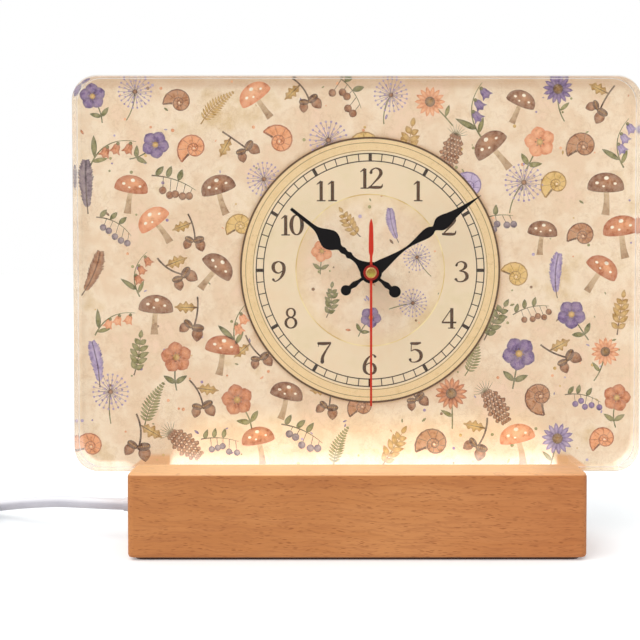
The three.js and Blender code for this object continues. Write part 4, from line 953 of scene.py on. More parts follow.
def cell_sleeve():
    """The cell's shrunk sleeve in two plain colours, and its bare steel ends."""
    paint = Paint("cell_sleeve", IOR=1.5)
    x, y, z = paint.axes()
    middle = (BATTERY_LOW.z + BATTERY_HIGH.z) / 2
    depth = (BATTERY_LOW.y + BATTERY_HIGH.y) / 2
    reach = ((z - middle) ** 2 + (y - depth) ** 2) ** 0.5
    end = BATTERY_HIGH.x
    bare = (x > end - CELL_SHOULDER).maths("MAXIMUM", x < BATTERY_LOW.x + CELL_FOOT)
    bare = bare.maths("MAXIMUM", (reach < CELL_CAP_REACH) * (x > end - CELL_CAP_DEPTH))
    cloud = paint.noise(6, 3.0)
    body = paint.mix(cloud, tone(46, 54, 62), tone(58, 68, 78))
    copper = paint.mix(cloud, tone(190, 120, 62), tone(214, 146, 84))
    sleeve = paint.mix(x.ease(end - COPPER_LENGTH - 0.1, end - COPPER_LENGTH + 0.1), body, copper)
    stripe = x.band(end - STRIPE[0], end - STRIPE[1], 0.1)
    sleeve = paint.mix(stripe, sleeve, tone(206, 206, 204))
    paint.feed("Base Color", paint.mix(bare, sleeve, tone(196, 196, 194)))
    paint.feed("Metallic", bare * 0.9 + 0.05)
    paint.roughen(cloud, 0.24, 0.34)
    return paint.material


# Making pieces of mesh

def mesh_piece(name, corners, faces, body, material, inks=None):
    """A piece from corners in millimetres and faces. Inks, if given, colour each corner."""
    mesh = bpy.data.meshes.new(name)
    mesh.from_pydata([tuple(corner * MM) for corner in corners], [], faces)
    mesh.update()
    if inks:
        layer = mesh.color_attributes.new("ink", "FLOAT_COLOR", "POINT")
        layer.data.foreach_set("color", [part for ink in inks for part in (*ink, 1)])
    mesh.materials.append(material)
    piece = add_object(name, mesh)
    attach(piece, body)
    return piece


def loft(name, rings, body, material, closed=False, smooth=False):
    """Faces between rings of equally many corners. Closed joins the last ring to the first."""
    count = len(rings[0])
    corners = [corner for ring in rings for corner in ring]
    faces = []
    for i in range(len(rings) if closed else len(rings) - 1):
        here, there = i * count, (i + 1) % len(rings) * count
        faces += [
            (here + k, here + (k + 1) % count, there + (k + 1) % count, there + k)
            for k in range(count)
        ]
    if not closed:
        faces += [tuple(range(count))[::-1], tuple(range(len(corners) - count, len(corners)))]
    piece = mesh_piece(name, corners, faces, body, material)
    for face in piece.data.polygons:
        face.use_smooth = smooth
    return piece


# Clear block, with rounder edges than its CAD solid and the roundel's fine engraved line

BLOCK_CORNER = 8.5
BLOCK_STEPS = 14  # a corner
FRONT_ROUND = 0.8
BACK_ROUND = 0.1
ROUND_STEPS = 5
SHEET_INSET = 0.12
BUSH_HOLE = 3.3
HOLE_STEPS = 128
ENGRAVING = ((26.1, 0), (25.85, 0.05), (25.6, 0))  # reach from the dial's middle, and depth


def rounded_outline(low, high, corner, inset, steps):
    """Points round a rectangle with round corners, each moved inwards by inset."""
    half = (high - low) / 2 - complex(corner, corner)
    middle = (low + high) / 2
    points = []
    for quarter, side in enumerate((1 + 1j, -1 + 1j, -1 - 1j, 1 - 1j)):
        for step in range(steps + 1):
            way = cmath.rect(corner - inset, math.pi / 2 * (quarter + step / steps))
            points.append(middle + complex(half.real * side.real, half.imag * side.imag) + way)
    return points


TURNS = [2 * math.pi * i / HOLE_STEPS for i in range(HOLE_STEPS)]
BUSH_RING = [AXIS + cmath.rect(BUSH_HOLE, angle) for angle in TURNS]


def make_plate(name, chains, caps, replaced, material):
    """A closed plate from chains of rings, and flat caps between the ends of two chains."""
    plate = bmesh.new()
    made = []
    for rings in chains:
        made.append([
            [plate.verts.new(Vector((p.real, y, p.imag)) * MM) for p in points]
            for points, y in rings
        ])
        for here, there in zip(made[-1], made[-1][1:]):
            for i in range(len(here)):
                plate.faces.new((here[i - 1], here[i], there[i], there[i - 1])).smooth = True
    for ends in caps:
        rims = [made[chain][end] for chain, end in ends]
        edges = [plate.edges.get((rim[i - 1], rim[i])) for rim in rims for i in range(len(rim))]
        bmesh.ops.triangle_fill(plate, use_beauty=True, edges=edges)
    bmesh.ops.recalc_face_normals(plate, faces=plate.faces)
    mesh = bpy.data.meshes.new(name)
    plate.to_mesh(mesh)
    plate.free()
    mesh.materials.append(material)
    piece = add_object(name, mesh)
    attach(piece, "clock_block")
    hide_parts(replaced)


def make_block():
    low, high = complex(BLOCK_LOW.x, BLOCK_LOW.z), complex(BLOCK_HIGH.x, BLOCK_HIGH.z)
    front, back = BLOCK_LOW.y, BLOCK_HIGH.y
    turns = [math.pi / 2 * i / ROUND_STEPS for i in range(ROUND_STEPS + 1)]
    sides = [
        (FRONT_ROUND * (1 - math.sin(a)), front + FRONT_ROUND * (1 - math.cos(a))) for a in turns
    ]
    sides += [
        (BACK_ROUND * (1 - math.cos(a)), back - BACK_ROUND * (1 - math.sin(a))) for a in turns
    ]
    outside = [
        (rounded_outline(low, high, BLOCK_CORNER, inset, BLOCK_STEPS), y) for inset, y in sides
    ]
    engraved = [
        ([dial_point(reach, angle) for angle in TURNS], back - depth) for reach, depth in ENGRAVING
    ]
    make_plate(
        "clear_block", (outside, engraved, [(BUSH_RING, back), (BUSH_RING, front)]),
        (((0, 0), (2, 1)), ((0, -1), (1, 0)), ((1, -1), (2, 0))),
        "acrylic_block", clear_acrylic(),
    )
    outline = rounded_outline(low, high, BLOCK_CORNER, SHEET_INSET, BLOCK_STEPS)
    make_plate(
        "print_sheet", ([(outline, FILM_LOW.y), (outline, FILM_HIGH.y)],
                        [(BUSH_RING, FILM_HIGH.y), (BUSH_RING, FILM_LOW.y)]),
        (((0, 0), (1, 1)), ((0, 1), (1, 0))), "printed_film", printed_ground(),
    )


# Print: shapes of ink on the block's back, in complex numbers x + iz in millimetres. A motif is
# drawn round zero in a size of its own, about one from its middle to its ends, and then scaled.

# The film stands 0.06 mm behind the block, and everything printed lies between them
INK_STEP = 0.0035
INK_OFFSET = 0.0011
INK_BACK = FILM_LOW.y - 0.010
DOTS_PLACE = FILM_LOW.y - 0.005
DIAL_PLACE = BLOCK_HIGH.y + 0.009
MARKS_PLACE = BLOCK_HIGH.y + 0.005


class Ink:
    """Flat shapes of one print, in layers that each lie a hair nearer the viewer than the last."""

    def __init__(self):
        self.corners, self.faces, self.inks = [], [], []

    def start(self, middle, size, turn, depth):
        """Sets the place, size and turn of the motif that the next shapes belong to."""
        self.middle, self.scale = middle, cmath.rect(size, turn)
        self.depth = depth

    def nearer(self):
        self.depth -= INK_STEP

    def put(self, points, colours):
        first = len(self.corners)
        for point, colour in zip(points, colours):
            place = self.middle + point * self.scale
            self.corners.append(Vector((place.real, self.depth, place.imag)))
            self.inks.append(colour)
        return first

    def fan(self, points, rim, heart, centre=None):
        """A filled outline that is coloured from its rim to its heart."""
        centre = sum(points) / len(points) if centre is None else centre
        first = self.put([centre, *points], [heart] + [rim] * len(points))
        count = len(points)
        self.faces += [(first, first + 1 + (k + 1) % count, first + 1 + k) for k in range(count)]

    def stroke(self, points, widths, start, end=None):
        """A line through points that is so wide at each, and coloured from its start to its end."""
        end = start if end is None else end
        sides, colours = [], []
        for i, (point, width) in enumerate(zip(points, widths)):
            ahead = points[min(i + 1, len(points) - 1)] - points[max(i - 1, 0)]
            aside = 1j * ahead / (abs(ahead) or 1) * width / 2
            share = i / (len(points) - 1)
            sides += [point + aside, point - aside]
            colours += [between(start, end, share)] * 2
        first = self.put(sides, colours)
        for i in range(0, len(sides) - 2, 2):
            a = first + i
            self.faces.append((a, a + 1, a + 3, a + 2))


def between(first, second, share):
    return tuple(a + (b - a) * share for a, b in zip(first, second))


def petal(base, tip, width, belly=0.5, steps=7):
    """The outline of a leaf or petal from its base to its tip, widest at the belly's share."""
    along = tip - base
    aside = 1j * along / abs(along) * width / 2
    sides = []
    for i in range(1, steps):
        share = i / steps
        lean = share ** (math.log(0.5) / math.log(belly))
        sides.append((share, math.sin(math.pi * lean) ** 0.8))
    left = [base + along * share + aside * reach for share, reach in sides]
    right = [base + along * share - aside * reach for share, reach in reversed(sides)]
    return [base, *left, tip, *right]


def arc(start, end, bend, steps=10):
    """Points from start to end on a curve that bows aside by the bend's share of its length."""
    middle = (start + end) / 2 + 1j * (end - start) * bend
    points = []
    for i in range(steps + 1):
        t = i / steps
        points.append(start * (1 - t) ** 2 + middle * (2 * t * (1 - t)) + end * t * t)
    return points


def disc(middle, radius, steps=14, flat=1.0, turn=0.0):
    spin = cmath.rect(1, turn)
    return [
        middle + complex(math.cos(a) * radius, math.sin(a) * radius * flat) * spin
        for a in (2 * math.pi * i / steps for i in range(steps))
    ]


# Colours of the print's inks: deep and light of each family
PLUM = (tone(88, 62, 118), tone(150, 120, 172))
HEATHER = (tone(118, 96, 150), tone(188, 168, 204))
RUST = (tone(176, 90, 46), tone(230, 152, 98))
PEACH = (tone(222, 132, 84), tone(244, 184, 136))
OCHRE = (tone(170, 122, 48), tone(222, 182, 102))
OLIVE = (tone(84, 84, 36), tone(142, 138, 72))
MOSS = (tone(106, 102, 44), tone(162, 154, 88))
UMBER = (tone(84, 50, 28), tone(146, 100, 62))
CHESTNUT = (tone(118, 66, 36), tone(184, 122, 76))
SLATE = (tone(96, 78, 96), tone(158, 138, 146))
BLOSSOMS = (PLUM, HEATHER, RUST, PEACH)
LEAVES = (OLIVE, MOSS, UMBER, OCHRE)


def leaf(ink, base, tip, width, colours, dice):
    deep, light = colours
    outline = petal(base, tip, width, dice.uniform(0.36, 0.5))
    ink.fan(outline, deep, light, base + (tip - base) * 0.45)
    ink.nearer()
    ink.stroke([base, base + (tip - base) * 0.85], [width * 0.07, width * 0.02], deep)
    ink.depth += INK_STEP


def draw_sprig(ink, dice):
    """A twig with leaves in pairs."""
    colours = dice.choice(LEAVES)
    stem = arc(-0.95j, 0.7j, dice.uniform(-0.16, 0.16), 12)
    ink.stroke(stem, [0.06 - 0.003 * i for i in range(13)], UMBER[0], colours[0])
    for i in range(2, 12, 2):
        ink.nearer()
        ahead = (stem[i + 1] - stem[i - 1]) / abs(stem[i + 1] - stem[i - 1])
        reach = 0.52 * math.sin(math.pi * (i + 3) / 17)
        for side in (1, -1):
            tip = stem[i] + ahead * cmath.rect(reach, side * dice.uniform(0.7, 1.0))
            leaf(ink, stem[i], tip, 0.24, colours, dice)
    ink.nearer()
    leaf(ink, stem[-1], stem[-1] + 0.38j, 0.2, colours, dice)


def draw_fern(ink, dice):
    """A frond of many narrow leaflets."""
    colours = dice.choice((OLIVE, MOSS, OCHRE))
    stem = arc(-1j, 0.95j, dice.uniform(-0.22, 0.22), 15)
    ink.stroke(stem, [0.05 - 0.0028 * i for i in range(16)], colours[0])
    ink.nearer()
    for i in range(2, 15):
        ahead = (stem[i + 1] - stem[i - 1]) / abs(stem[i + 1] - stem[i - 1])
        reach = 0.5 * math.sin(math.pi * min((i + 1) / 8, 1) / 2) * (16 - i) / 13
        for side in (1, -1):
            tip = stem[i] + ahead * cmath.rect(reach, side * 1.05)
            ink.fan(petal(stem[i], tip, 0.1, 0.4, 5), colours[0], colours[1])


def draw_blossom(ink, dice):
    """An open flower of five broad petals on a short stalk with two leaves."""
    deep, light = dice.choice(BLOSSOMS)
    green = dice.choice((OLIVE, MOSS))
    stalk = arc(-1j, 0.15j, dice.uniform(-0.2, 0.2), 8)
    ink.stroke(stalk, [0.055] * 9, green[0])
    ink.nearer()
    for side in (1, -1):
        tip = stalk[2] + cmath.rect(0.55, math.pi / 2 + side)
        leaf(ink, stalk[2], tip, 0.22, green, dice)
    heart = 0.3j
    start = dice.uniform(0, 1)
    for k in range(5):
        ink.nearer()
        tip = heart + cmath.rect(0.62, start + 2 * math.pi * k / 5)
        ink.fan(petal(heart, tip, 0.56, 0.62, 9), deep, light, heart + (tip - heart) * 0.6)
    ink.nearer()
    for k in range(5):
        tip = heart + cmath.rect(0.62, start + 2 * math.pi * k / 5)
        for lean in (-0.16, 0, 0.16):
            vein = heart + (tip - heart) * cmath.rect(0.72, lean)
            ink.stroke([heart, vein], [0.035, 0.008], deep)
    ink.nearer()
    ink.fan(disc(heart, 0.13), OCHRE[0], OCHRE[1])
    ink.nearer()
    for k in range(7):
        ink.fan(disc(heart + cmath.rect(0.17, 2 * math.pi * k / 7), 0.028, 6), UMBER[0], UMBER[1])


def draw_daisy(ink, dice):
    """A flower head of many narrow petals."""
    deep, light = dice.choice(BLOSSOMS)
    stalk = arc(-1j, 0.2j, dice.uniform(-0.2, 0.2), 8)
    ink.stroke(stalk, [0.05] * 9, MOSS[0])
    ink.nearer()
    leaf(ink, stalk[3], stalk[3] + cmath.rect(0.5, dice.choice((0.5, 2.6))), 0.16, MOSS, dice)
    ink.nearer()
    for k in range(14):
        tip = 0.3j + cmath.rect(0.6, 2 * math.pi * (k + 0.3) / 14)
        ink.fan(petal(0.3j, tip, 0.17, 0.62, 6), deep, light, 0.3j + (tip - 0.3j) * 0.7)
    ink.nearer()
    ink.fan(disc(0.3j, 0.2), UMBER[0], OCHRE[0])


def draw_berries(ink, dice):
    """A drooping twig of round berries."""
    deep, light = dice.choice((PLUM, RUST, CHESTNUT, SLATE))
    stem = arc(-0.9 + 0.5j, 0.8 + 0.2j, dice.uniform(0.12, 0.25), 12)
    ink.stroke(stem, [0.055 - 0.003 * i for i in range(13)], UMBER[0], MOSS[0])
    ink.nearer()
    for i in (1, 4, 7):
        leaf(ink, stem[i], stem[i] + cmath.rect(0.46, dice.uniform(0.9, 1.5)), 0.22, OLIVE, dice)
    for i in (3, 5, 7, 9, 11):
        ink.nearer()
        hang = stem[i] - 1j * dice.uniform(0.3, 0.62) + dice.uniform(-0.08, 0.08)
        ink.stroke([stem[i], hang], [0.025, 0.02], UMBER[0])
        ink.nearer()
        ink.fan(disc(hang, 0.145, 14), deep, light, hang + 0.05 + 0.05j)
        ink.fan(disc(hang - 0.13j, 0.025, 6), UMBER[0], UMBER[0])


def draw_bells(ink, dice):
    """A bent stalk with hanging bell-shaped flowers."""
    deep, light = dice.choice(BLOSSOMS)
    stem = arc(-0.5 - 1j, 0.75 + 0.5j, dice.uniform(0.3, 0.42), 14)
    ink.stroke(stem, [0.06 - 0.003 * i for i in range(15)], MOSS[0])
    ink.nearer()
    leaf(ink, stem[2], stem[2] + cmath.rect(0.85, 2.0), 0.22, OLIVE, dice)
    leaf(ink, stem[1], stem[1] + cmath.rect(0.6, 0.6), 0.18, MOSS, dice)
    for i in (7, 10, 13):
        top = stem[i] - 0.1j
        bell = [top + z for z in (
            -0.05, -0.13 - 0.1j, -0.15 - 0.26j, -0.23 - 0.4j, -0.1 - 0.36j, -0.45j,
            0.1 - 0.36j, 0.23 - 0.4j, 0.15 - 0.26j, 0.13 - 0.1j, 0.05,
        )]
        ink.nearer()
        ink.fan(bell, deep, light, top - 0.24j)
        ink.nearer()
        ink.stroke([top, top - 0.36j], [0.03, 0.01], deep)
        ink.fan(disc(top, 0.07, 8), OLIVE[0], OLIVE[1])


def draw_acorns(ink, dice):
    """Two acorns in their cups on a twig with a lobed leaf."""
    twig = arc(-0.2 + 1j, 0.1 - 0.1j, dice.uniform(-0.2, 0.2), 8)
    ink.stroke(twig, [0.07] * 9, UMBER[0])
    lobes = []
    for i in range(25):
        share = i / 24
        reach = 0.2 * math.sin(math.pi * share) * (1 + 0.35 * math.cos(share * 8 * math.pi))
        lobes.append((share, reach))
    way = cmath.rect(0.95, dice.choice((-0.35, 3.5)))
    outline = [twig[3] + way * complex(s, r) for s, r in lobes]
    outline += [twig[3] + way * complex(s, -r) for s, r in reversed(lobes[1:-1])]
    ink.nearer()
    ink.fan(outline, OCHRE[0], OCHRE[1], twig[3] + way * 0.5)
    ink.nearer()
    ink.stroke([twig[3], twig[3] + way * 0.9], [0.04, 0.01], UMBER[0])
    for lean, size in ((-0.45, 0.85), (0.3, 1.0)):
        spin = cmath.rect(size, lean)
        nut = twig[-1] + lean * 0.5
        shape = [nut + z * spin for z in petal(0.0, -0.62j, 0.46, 0.48, 9)]
        ink.nearer()
        ink.fan(shape, CHESTNUT[0], CHESTNUT[1], nut - 0.25j * spin + 0.05)
        cup = [nut + z * spin for z in disc(-0.06j, 0.26, 14, 0.62)]
        ink.nearer()
        ink.fan(cup, UMBER[0], CHESTNUT[0])
        ink.nearer()
        for k in range(-2, 3):
            ink.fan(disc(nut + spin * complex(k * 0.085, -0.05), 0.03, 6), OCHRE[0], OCHRE[0])


def draw_shell(ink, dice):
    """A snail's shell in a spiral with ribs."""
    deep, light = dice.choice((CHESTNUT, RUST, HEATHER, OCHRE))
    turns, steps = 2.6, 44
    inner, outer = [], []
    for i in range(steps + 1):
        angle = 2 * math.pi * turns * i / steps
        grow = 0.06 * math.exp(0.155 * angle)
        inner.append(cmath.rect(grow * 0.42, angle))
        outer.append(cmath.rect(grow, angle))
    middle = [(a + b) / 2 for a, b in zip(inner, outer)]
    ink.stroke(middle, [abs(b - a) for a, b in zip(inner, outer)], light, light)
    ink.nearer()
    ink.stroke(outer, [0.03 + 0.0006 * i for i in range(steps + 1)], deep)
    ink.nearer()
    for i in range(16, steps, 2):
        rib = [inner[i], middle[i], outer[i]]
        ink.stroke(rib, [0.012, 0.03, 0.045], deep, between(deep, light, 0.3))
    ink.nearer()
    ink.stroke([inner[-1], outer[-1]], [0.08, 0.08], UMBER[0], deep)


def draw_feather(ink, dice):
    """A feather: a quill with barbs that part here and there."""
    deep, light = dice.choice((CHESTNUT, SLATE, OCHRE, HEATHER))
    quill = arc(-1j, 0.9j, dice.uniform(-0.14, 0.14), 20)
    start_depth = ink.depth
    for i in range(4, 21):
        ahead = quill[i] - quill[i - 1]
        ahead /= abs(ahead)
        reach = 0.36 * math.sin(math.pi * (i - 2) / 20) ** 0.7 + 0.04
        ink.depth = start_depth - INK_STEP * (i % 3)
        for side in (1, -1):
            lean = side * (0.75 + dice.uniform(-0.05, 0.05))
            base = quill[i - 1]
            tip = base + ahead * cmath.rect(reach * dice.uniform(0.92, 1.04), lean)
            barb = [base, (base + tip) / 2 + ahead * 0.02, tip]
            ink.stroke(barb, [0.12, 0.13, 0.03], light, deep)
    ink.depth = start_depth - 3 * INK_STEP
    ink.stroke(quill, [0.045 - 0.0018 * i for i in range(21)], UMBER[0], deep)


def draw_seed_head(ink, dice):
    """A round head of seeds on fine spokes."""
    heart = 0.25j
    stalk = arc(-1j, heart, dice.uniform(-0.18, 0.18), 8)
    ink.stroke(stalk, [0.045] * 9, MOSS[0])
    for ring, count in ((0.68, 22), (0.46, 15), (0.26, 9)):
        ink.nearer()
        for k in range(count):
            end = heart + cmath.rect(ring, 2 * math.pi * (k + ring * 3) / count)
            ink.stroke([heart, end], [0.012, 0.014], SLATE[0], HEATHER[0])
            ink.fan(disc(end, 0.045, 6), PLUM[1], HEATHER[1])
    ink.nearer()
    ink.fan(disc(heart, 0.1), UMBER[0], CHESTNUT[1])


def draw_cone(ink, dice):
    """A pine cone with needles at its top."""
    for k in range(9):
        way = cmath.rect(0.62, math.pi / 2 + (k - 4) * 0.28)
        ink.stroke([0.5j, 0.5j + way * 0.8], [0.035, 0.008], OLIVE[0], MOSS[0])
    for row in range(7, -1, -1):
        ink.nearer()
        height = 0.55 - row * 0.19
        half = 0.42 * math.sin(math.pi * (row + 1.6) / 10) ** 0.8
        for k in range(-2, 3):
            shift = (k + (0.5 if row % 2 else 0)) / 2.5
            if abs(shift) > 1:
                continue
            tip = complex(half * shift * 1.05, height - 0.17)
            base = complex(half * shift * 0.8, height + 0.08)
            ink.fan(petal(base, tip, half * 0.55, 0.7, 6), *CHESTNUT, (base + 2 * tip) / 3)


def draw_toadstool(ink, dice):
    """A small mushroom with pale spots."""
    deep, light = dice.choice((RUST, CHESTNUT, PEACH))
    stem = arc(-0.85j, 0.15j, dice.uniform(-0.1, 0.1), 6)
    widths = [0.3, 0.26, 0.23, 0.21, 0.2, 0.2, 0.2]
    ink.stroke(stem, widths, tone(166, 126, 88), tone(214, 184, 144))
    cap = [complex(0.68 * math.cos(a), 0.1 + 0.6 * math.sin(a) ** 0.85) for a in
           (math.pi * i / 14 for i in range(15))]
    brim = [complex(-0.68 * math.cos(math.pi * i / 8), 0.1 - 0.13 * math.sin(math.pi * i / 8))
            for i in range(1, 8)]
    ink.nearer()
    ink.fan([*cap, *brim], deep, light, 0.12 + 0.42j)
    ink.nearer()
    for x, z, r in ((-0.32, 0.32, 0.07), (0.02, 0.5, 0.09), (0.34, 0.3, 0.06), (-0.08, 0.2, 0.05)):
        ink.fan(disc(complex(x, z), r, 9, 0.8), tone(246, 232, 208), tone(250, 240, 222))


MOTIFS = (
    draw_sprig, draw_fern, draw_blossom, draw_daisy, draw_berries, draw_bells, draw_acorns,
    draw_shell, draw_feather, draw_seed_head, draw_cone, draw_toadstool,
)
PRINT_SEED = 20
MOTIF_SPACING = 15.2
MOTIF_SIZES = (7.4, 9.6)
MOTIF_TILT = 0.5
ROW_SHIFT = 0.25
DIAL_OVERLAP = 5  # how far a motif's middle may lie under the dial's rim
ROUNDEL_MOTIFS = 7
ROUNDEL_MOTIF_REACH = 17.6
ROUNDEL_MOTIF_SIZES = (6.0, 7.0)
DOT_COUNT = 260
DOT_SIZES = (0.3, 0.8)
TRIM_STEPS = 6  # a corner


def motif_places(dice):
    """Places and sizes of the motifs: a loose grid round the dial, then a ring in the roundel."""
    width, height = FILM_HIGH.x - FILM_LOW.x, FILM_HIGH.z - FILM_LOW.z
    columns, rows = round(width / MOTIF_SPACING), round(height / MOTIF_SPACING)
    for row in range(rows):
        for column in range(columns):
            shift = ROW_SHIFT if row % 2 else -ROW_SHIFT
            across = (column + 0.5 + shift + dice.uniform(-0.12, 0.12)) * width / columns
            up = (row + 0.5 + dice.uniform(-0.14, 0.14)) * height / rows
            place = complex(FILM_LOW.x + across, FILM_LOW.z + up)
            if abs(place - AXIS) > DIAL_OUTER - DIAL_OVERLAP:
                yield place, dice.uniform(*MOTIF_SIZES)
    for k in range(ROUNDEL_MOTIFS):
        turn = 2 * math.pi * (k + 0.2) / ROUNDEL_MOTIFS
        yield dial_point(ROUNDEL_MOTIF_REACH, turn), dice.uniform(*ROUNDEL_MOTIF_SIZES)


def make_print():
    dice = random.Random(PRINT_SEED)
    ink = Ink()
    for k in range(DOT_COUNT):
        across, up = dice.uniform(FILM_LOW.x, FILM_HIGH.x), dice.uniform(FILM_LOW.z, FILM_HIGH.z)
        size, turn = dice.uniform(*DOT_SIZES), dice.uniform(0, 2 * math.pi)
        ink.start(complex(across, up), size, turn, DOTS_PLACE)
        deep, light = dice.choice((*BLOSSOMS, *LEAVES))
        if k % 3:
            ink.fan(disc(0, 0.8, 8), between(deep, light, 0.6), light)
        else:
            ink.fan(petal(-1.4, 1.4, 1.1, 0.5, 5), deep, light)
    last = None
    for number, (place, size) in enumerate(motif_places(dice)):
        draw = dice.choice([motif for motif in MOTIFS if motif is not last])
        last = draw
        ink.start(place, size, dice.gauss(0, MOTIF_TILT), INK_BACK - number % 3 * INK_OFFSET)
        draw(ink, dice)
    piece = mesh_piece(
        "print_motifs", ink.corners, ink.faces, "clock_block", print_ink(), ink.inks
    )
    trim(piece)


def trim(piece):
    """Cuts shapes off at the sheet's edge, and turns them to the viewer."""
    low, high = complex(BLOCK_LOW.x, BLOCK_LOW.z), complex(BLOCK_HIGH.x, BLOCK_HIGH.z)
    outline = rounded_outline(low, high, BLOCK_CORNER, SHEET_INSET, TRIM_STEPS)
    cut = bmesh.new()
    cut.from_mesh(piece.data)
    for place, last in zip(outline, [outline[-1], *outline]):
        way = 1j * (last - place) / abs(last - place)
        bmesh.ops.bisect_plane(
            cut, geom=[*cut.verts, *cut.edges, *cut.faces], dist=1e-9, clear_outer=True,
            plane_co=Vector((place.real, 0, place.imag)) * MM,
            plane_no=Vector((way.real, 0, way.imag)),
        )
    for face in cut.faces:
        face.normal_update()
        if face.normal.y > 0:
            face.normal_flip()
    cut.to_mesh(piece.data)
    cut.free()


# Dial: a printed ring, the roundel's line and the numerals

DIAL_STEPS = 180
ROUNDEL_REACH = (25.7, 26.05)
NUMERAL_HEIGHT = 7.2
NUMERAL_REACH = 31.8
NUMERAL_DROP = 0.42
NUMERAL_WIDEN = 1.36
NUMERAL_BOLD = 1.2
NUMERAL_BALL = 0.1  # strokes wider than this end round
NUMERAL_ADVANCE = 0.74
ONE_ADVANCE = 0.54


def make_ring(name, inner, outer, depth, material):
    """A flat ring round the dial's middle that faces the viewer."""
    corners, faces = [], []
    for i in range(DIAL_STEPS):
        for reach in (inner, outer):
            place = dial_point(reach, 2 * math.pi * i / DIAL_STEPS)
            corners.append(Vector((place.real, depth, place.imag)))
        here, there = 2 * i, 2 * ((i + 1) % DIAL_STEPS)
        faces.append((here, here + 1, there + 1, there))
    return mesh_piece(name, corners, faces, "clock_block", material)


def ellipse(middle, across, up, side, cap):
    """A closed loop of strokes that is side wide at its sides and cap wide at top and bottom."""
    points = []
    for i in range(25):
        angle = 2 * math.pi * i / 24
        way = cmath.rect(1, angle)
        width = cap + (side - cap) * abs(way.real) ** 1.6
        points.append((middle.real + across * way.real, middle.imag + up * way.imag, width))
    return points


# The strokes of each numeral in a box one high: points of (across, up, width)
ONE = (
    ((0.28, 0.02, 0.13), (0.28, 0.95, 0.13)),
    ((0.12, 0.79, 0.03), (0.2, 0.87, 0.06), (0.28, 0.96, 0.06)),
    ((0.13, 0.02, 0.05), (0.43, 0.02, 0.05)),
)
TWO = (
    ((0.10, 0.76, 0.12), (0.13, 0.88, 0.07), (0.27, 0.975, 0.05), (0.41, 0.89, 0.11),
     (0.45, 0.73, 0.14), (0.38, 0.54, 0.10), (0.22, 0.30, 0.06), (0.06, 0.06, 0.05)),
    ((0.05, 0.06, 0.09), (0.3, 0.055, 0.12), (0.46, 0.07, 0.09), (0.51, 0.22, 0.03)),
)
THREE = (
    ((0.10, 0.80, 0.10), (0.15, 0.92, 0.05), (0.27, 0.975, 0.05), (0.40, 0.89, 0.10),
     (0.42, 0.74, 0.13), (0.33, 0.60, 0.07), (0.20, 0.53, 0.04)),
    ((0.20, 0.53, 0.04), (0.36, 0.49, 0.07), (0.46, 0.36, 0.13), (0.46, 0.18, 0.13),
     (0.31, 0.025, 0.06), (0.15, 0.03, 0.05), (0.08, 0.13, 0.11)),
)
FOUR = (
    ((0.37, 0.97, 0.04), (0.03, 0.30, 0.045)), ((0.02, 0.29, 0.07), (0.53, 0.29, 0.07)),
    ((0.37, 0.98, 0.13), (0.37, 0.02, 0.13)), ((0.24, 0.02, 0.045), (0.49, 0.02, 0.045)),
)
FIVE = (
    ((0.12, 0.92, 0.10), (0.3, 0.91, 0.12), (0.46, 0.95, 0.07)),
    ((0.13, 0.93, 0.04), (0.11, 0.55, 0.035)),
    ((0.11, 0.55, 0.04), (0.24, 0.62, 0.06), (0.41, 0.53, 0.12), (0.47, 0.33, 0.14),
     (0.41, 0.12, 0.10), (0.25, 0.02, 0.05), (0.12, 0.04, 0.05), (0.08, 0.14, 0.11)),
)
SIX = (
    ((0.45, 0.88, 0.10), (0.38, 0.97, 0.05), (0.25, 0.88, 0.06), (0.13, 0.68, 0.11),
     (0.07, 0.42, 0.14), (0.10, 0.16, 0.12), (0.25, 0.025, 0.05), (0.41, 0.12, 0.11),
     (0.45, 0.31, 0.14), (0.39, 0.50, 0.10), (0.26, 0.575, 0.05), (0.13, 0.48, 0.05)),
)
SEVEN = (
    ((0.06, 0.92, 0.11), (0.25, 0.91, 0.13), (0.5, 0.94, 0.08)),
    ((0.06, 0.94, 0.03), (0.05, 0.76, 0.03)),
    ((0.49, 0.93, 0.05), (0.31, 0.55, 0.08), (0.2, 0.25, 0.12), (0.19, 0.03, 0.15)),
)
EIGHT = (
    ellipse(0.26 + 0.755j, 0.14, 0.21, 0.09, 0.05),
    ellipse(0.26 + 0.275j, 0.18, 0.25, 0.11, 0.05),
)
NINE = tuple(tuple((0.52 - x, 1 - z, w) for x, z, w in stroke) for stroke in SIX)
ZERO = (ellipse(0.27 + 0.5j, 0.19, 0.47, 0.15, 0.05),)
DIGITS = (ZERO, ONE, TWO, THREE, FOUR, FIVE, SIX, SEVEN, EIGHT, NINE)


def make_numerals():
    ink = Ink()
    for hour in range(1, HOURS + 1):
        digits = [int(digit) for digit in str(hour)]
        advances = [ONE_ADVANCE if digit == 1 else NUMERAL_ADVANCE for digit in digits]
        angle = math.pi / 2 - 2 * math.pi * hour / HOURS
        place = dial_point(NUMERAL_REACH, angle) - NUMERAL_DROP * 1j
        left = -sum(advances) / 2
        for digit, advance in zip(digits, advances):
            ink.start(place + NUMERAL_HEIGHT * complex(left, -0.5), NUMERAL_HEIGHT, 0, MARKS_PLACE)
            for stroke in DIGITS[digit]:
                draw_stroke(ink, stroke)
            left += advance
    trim(mesh_piece("dial_numerals", ink.corners, ink.faces, "clock_block", numeral_ink()))


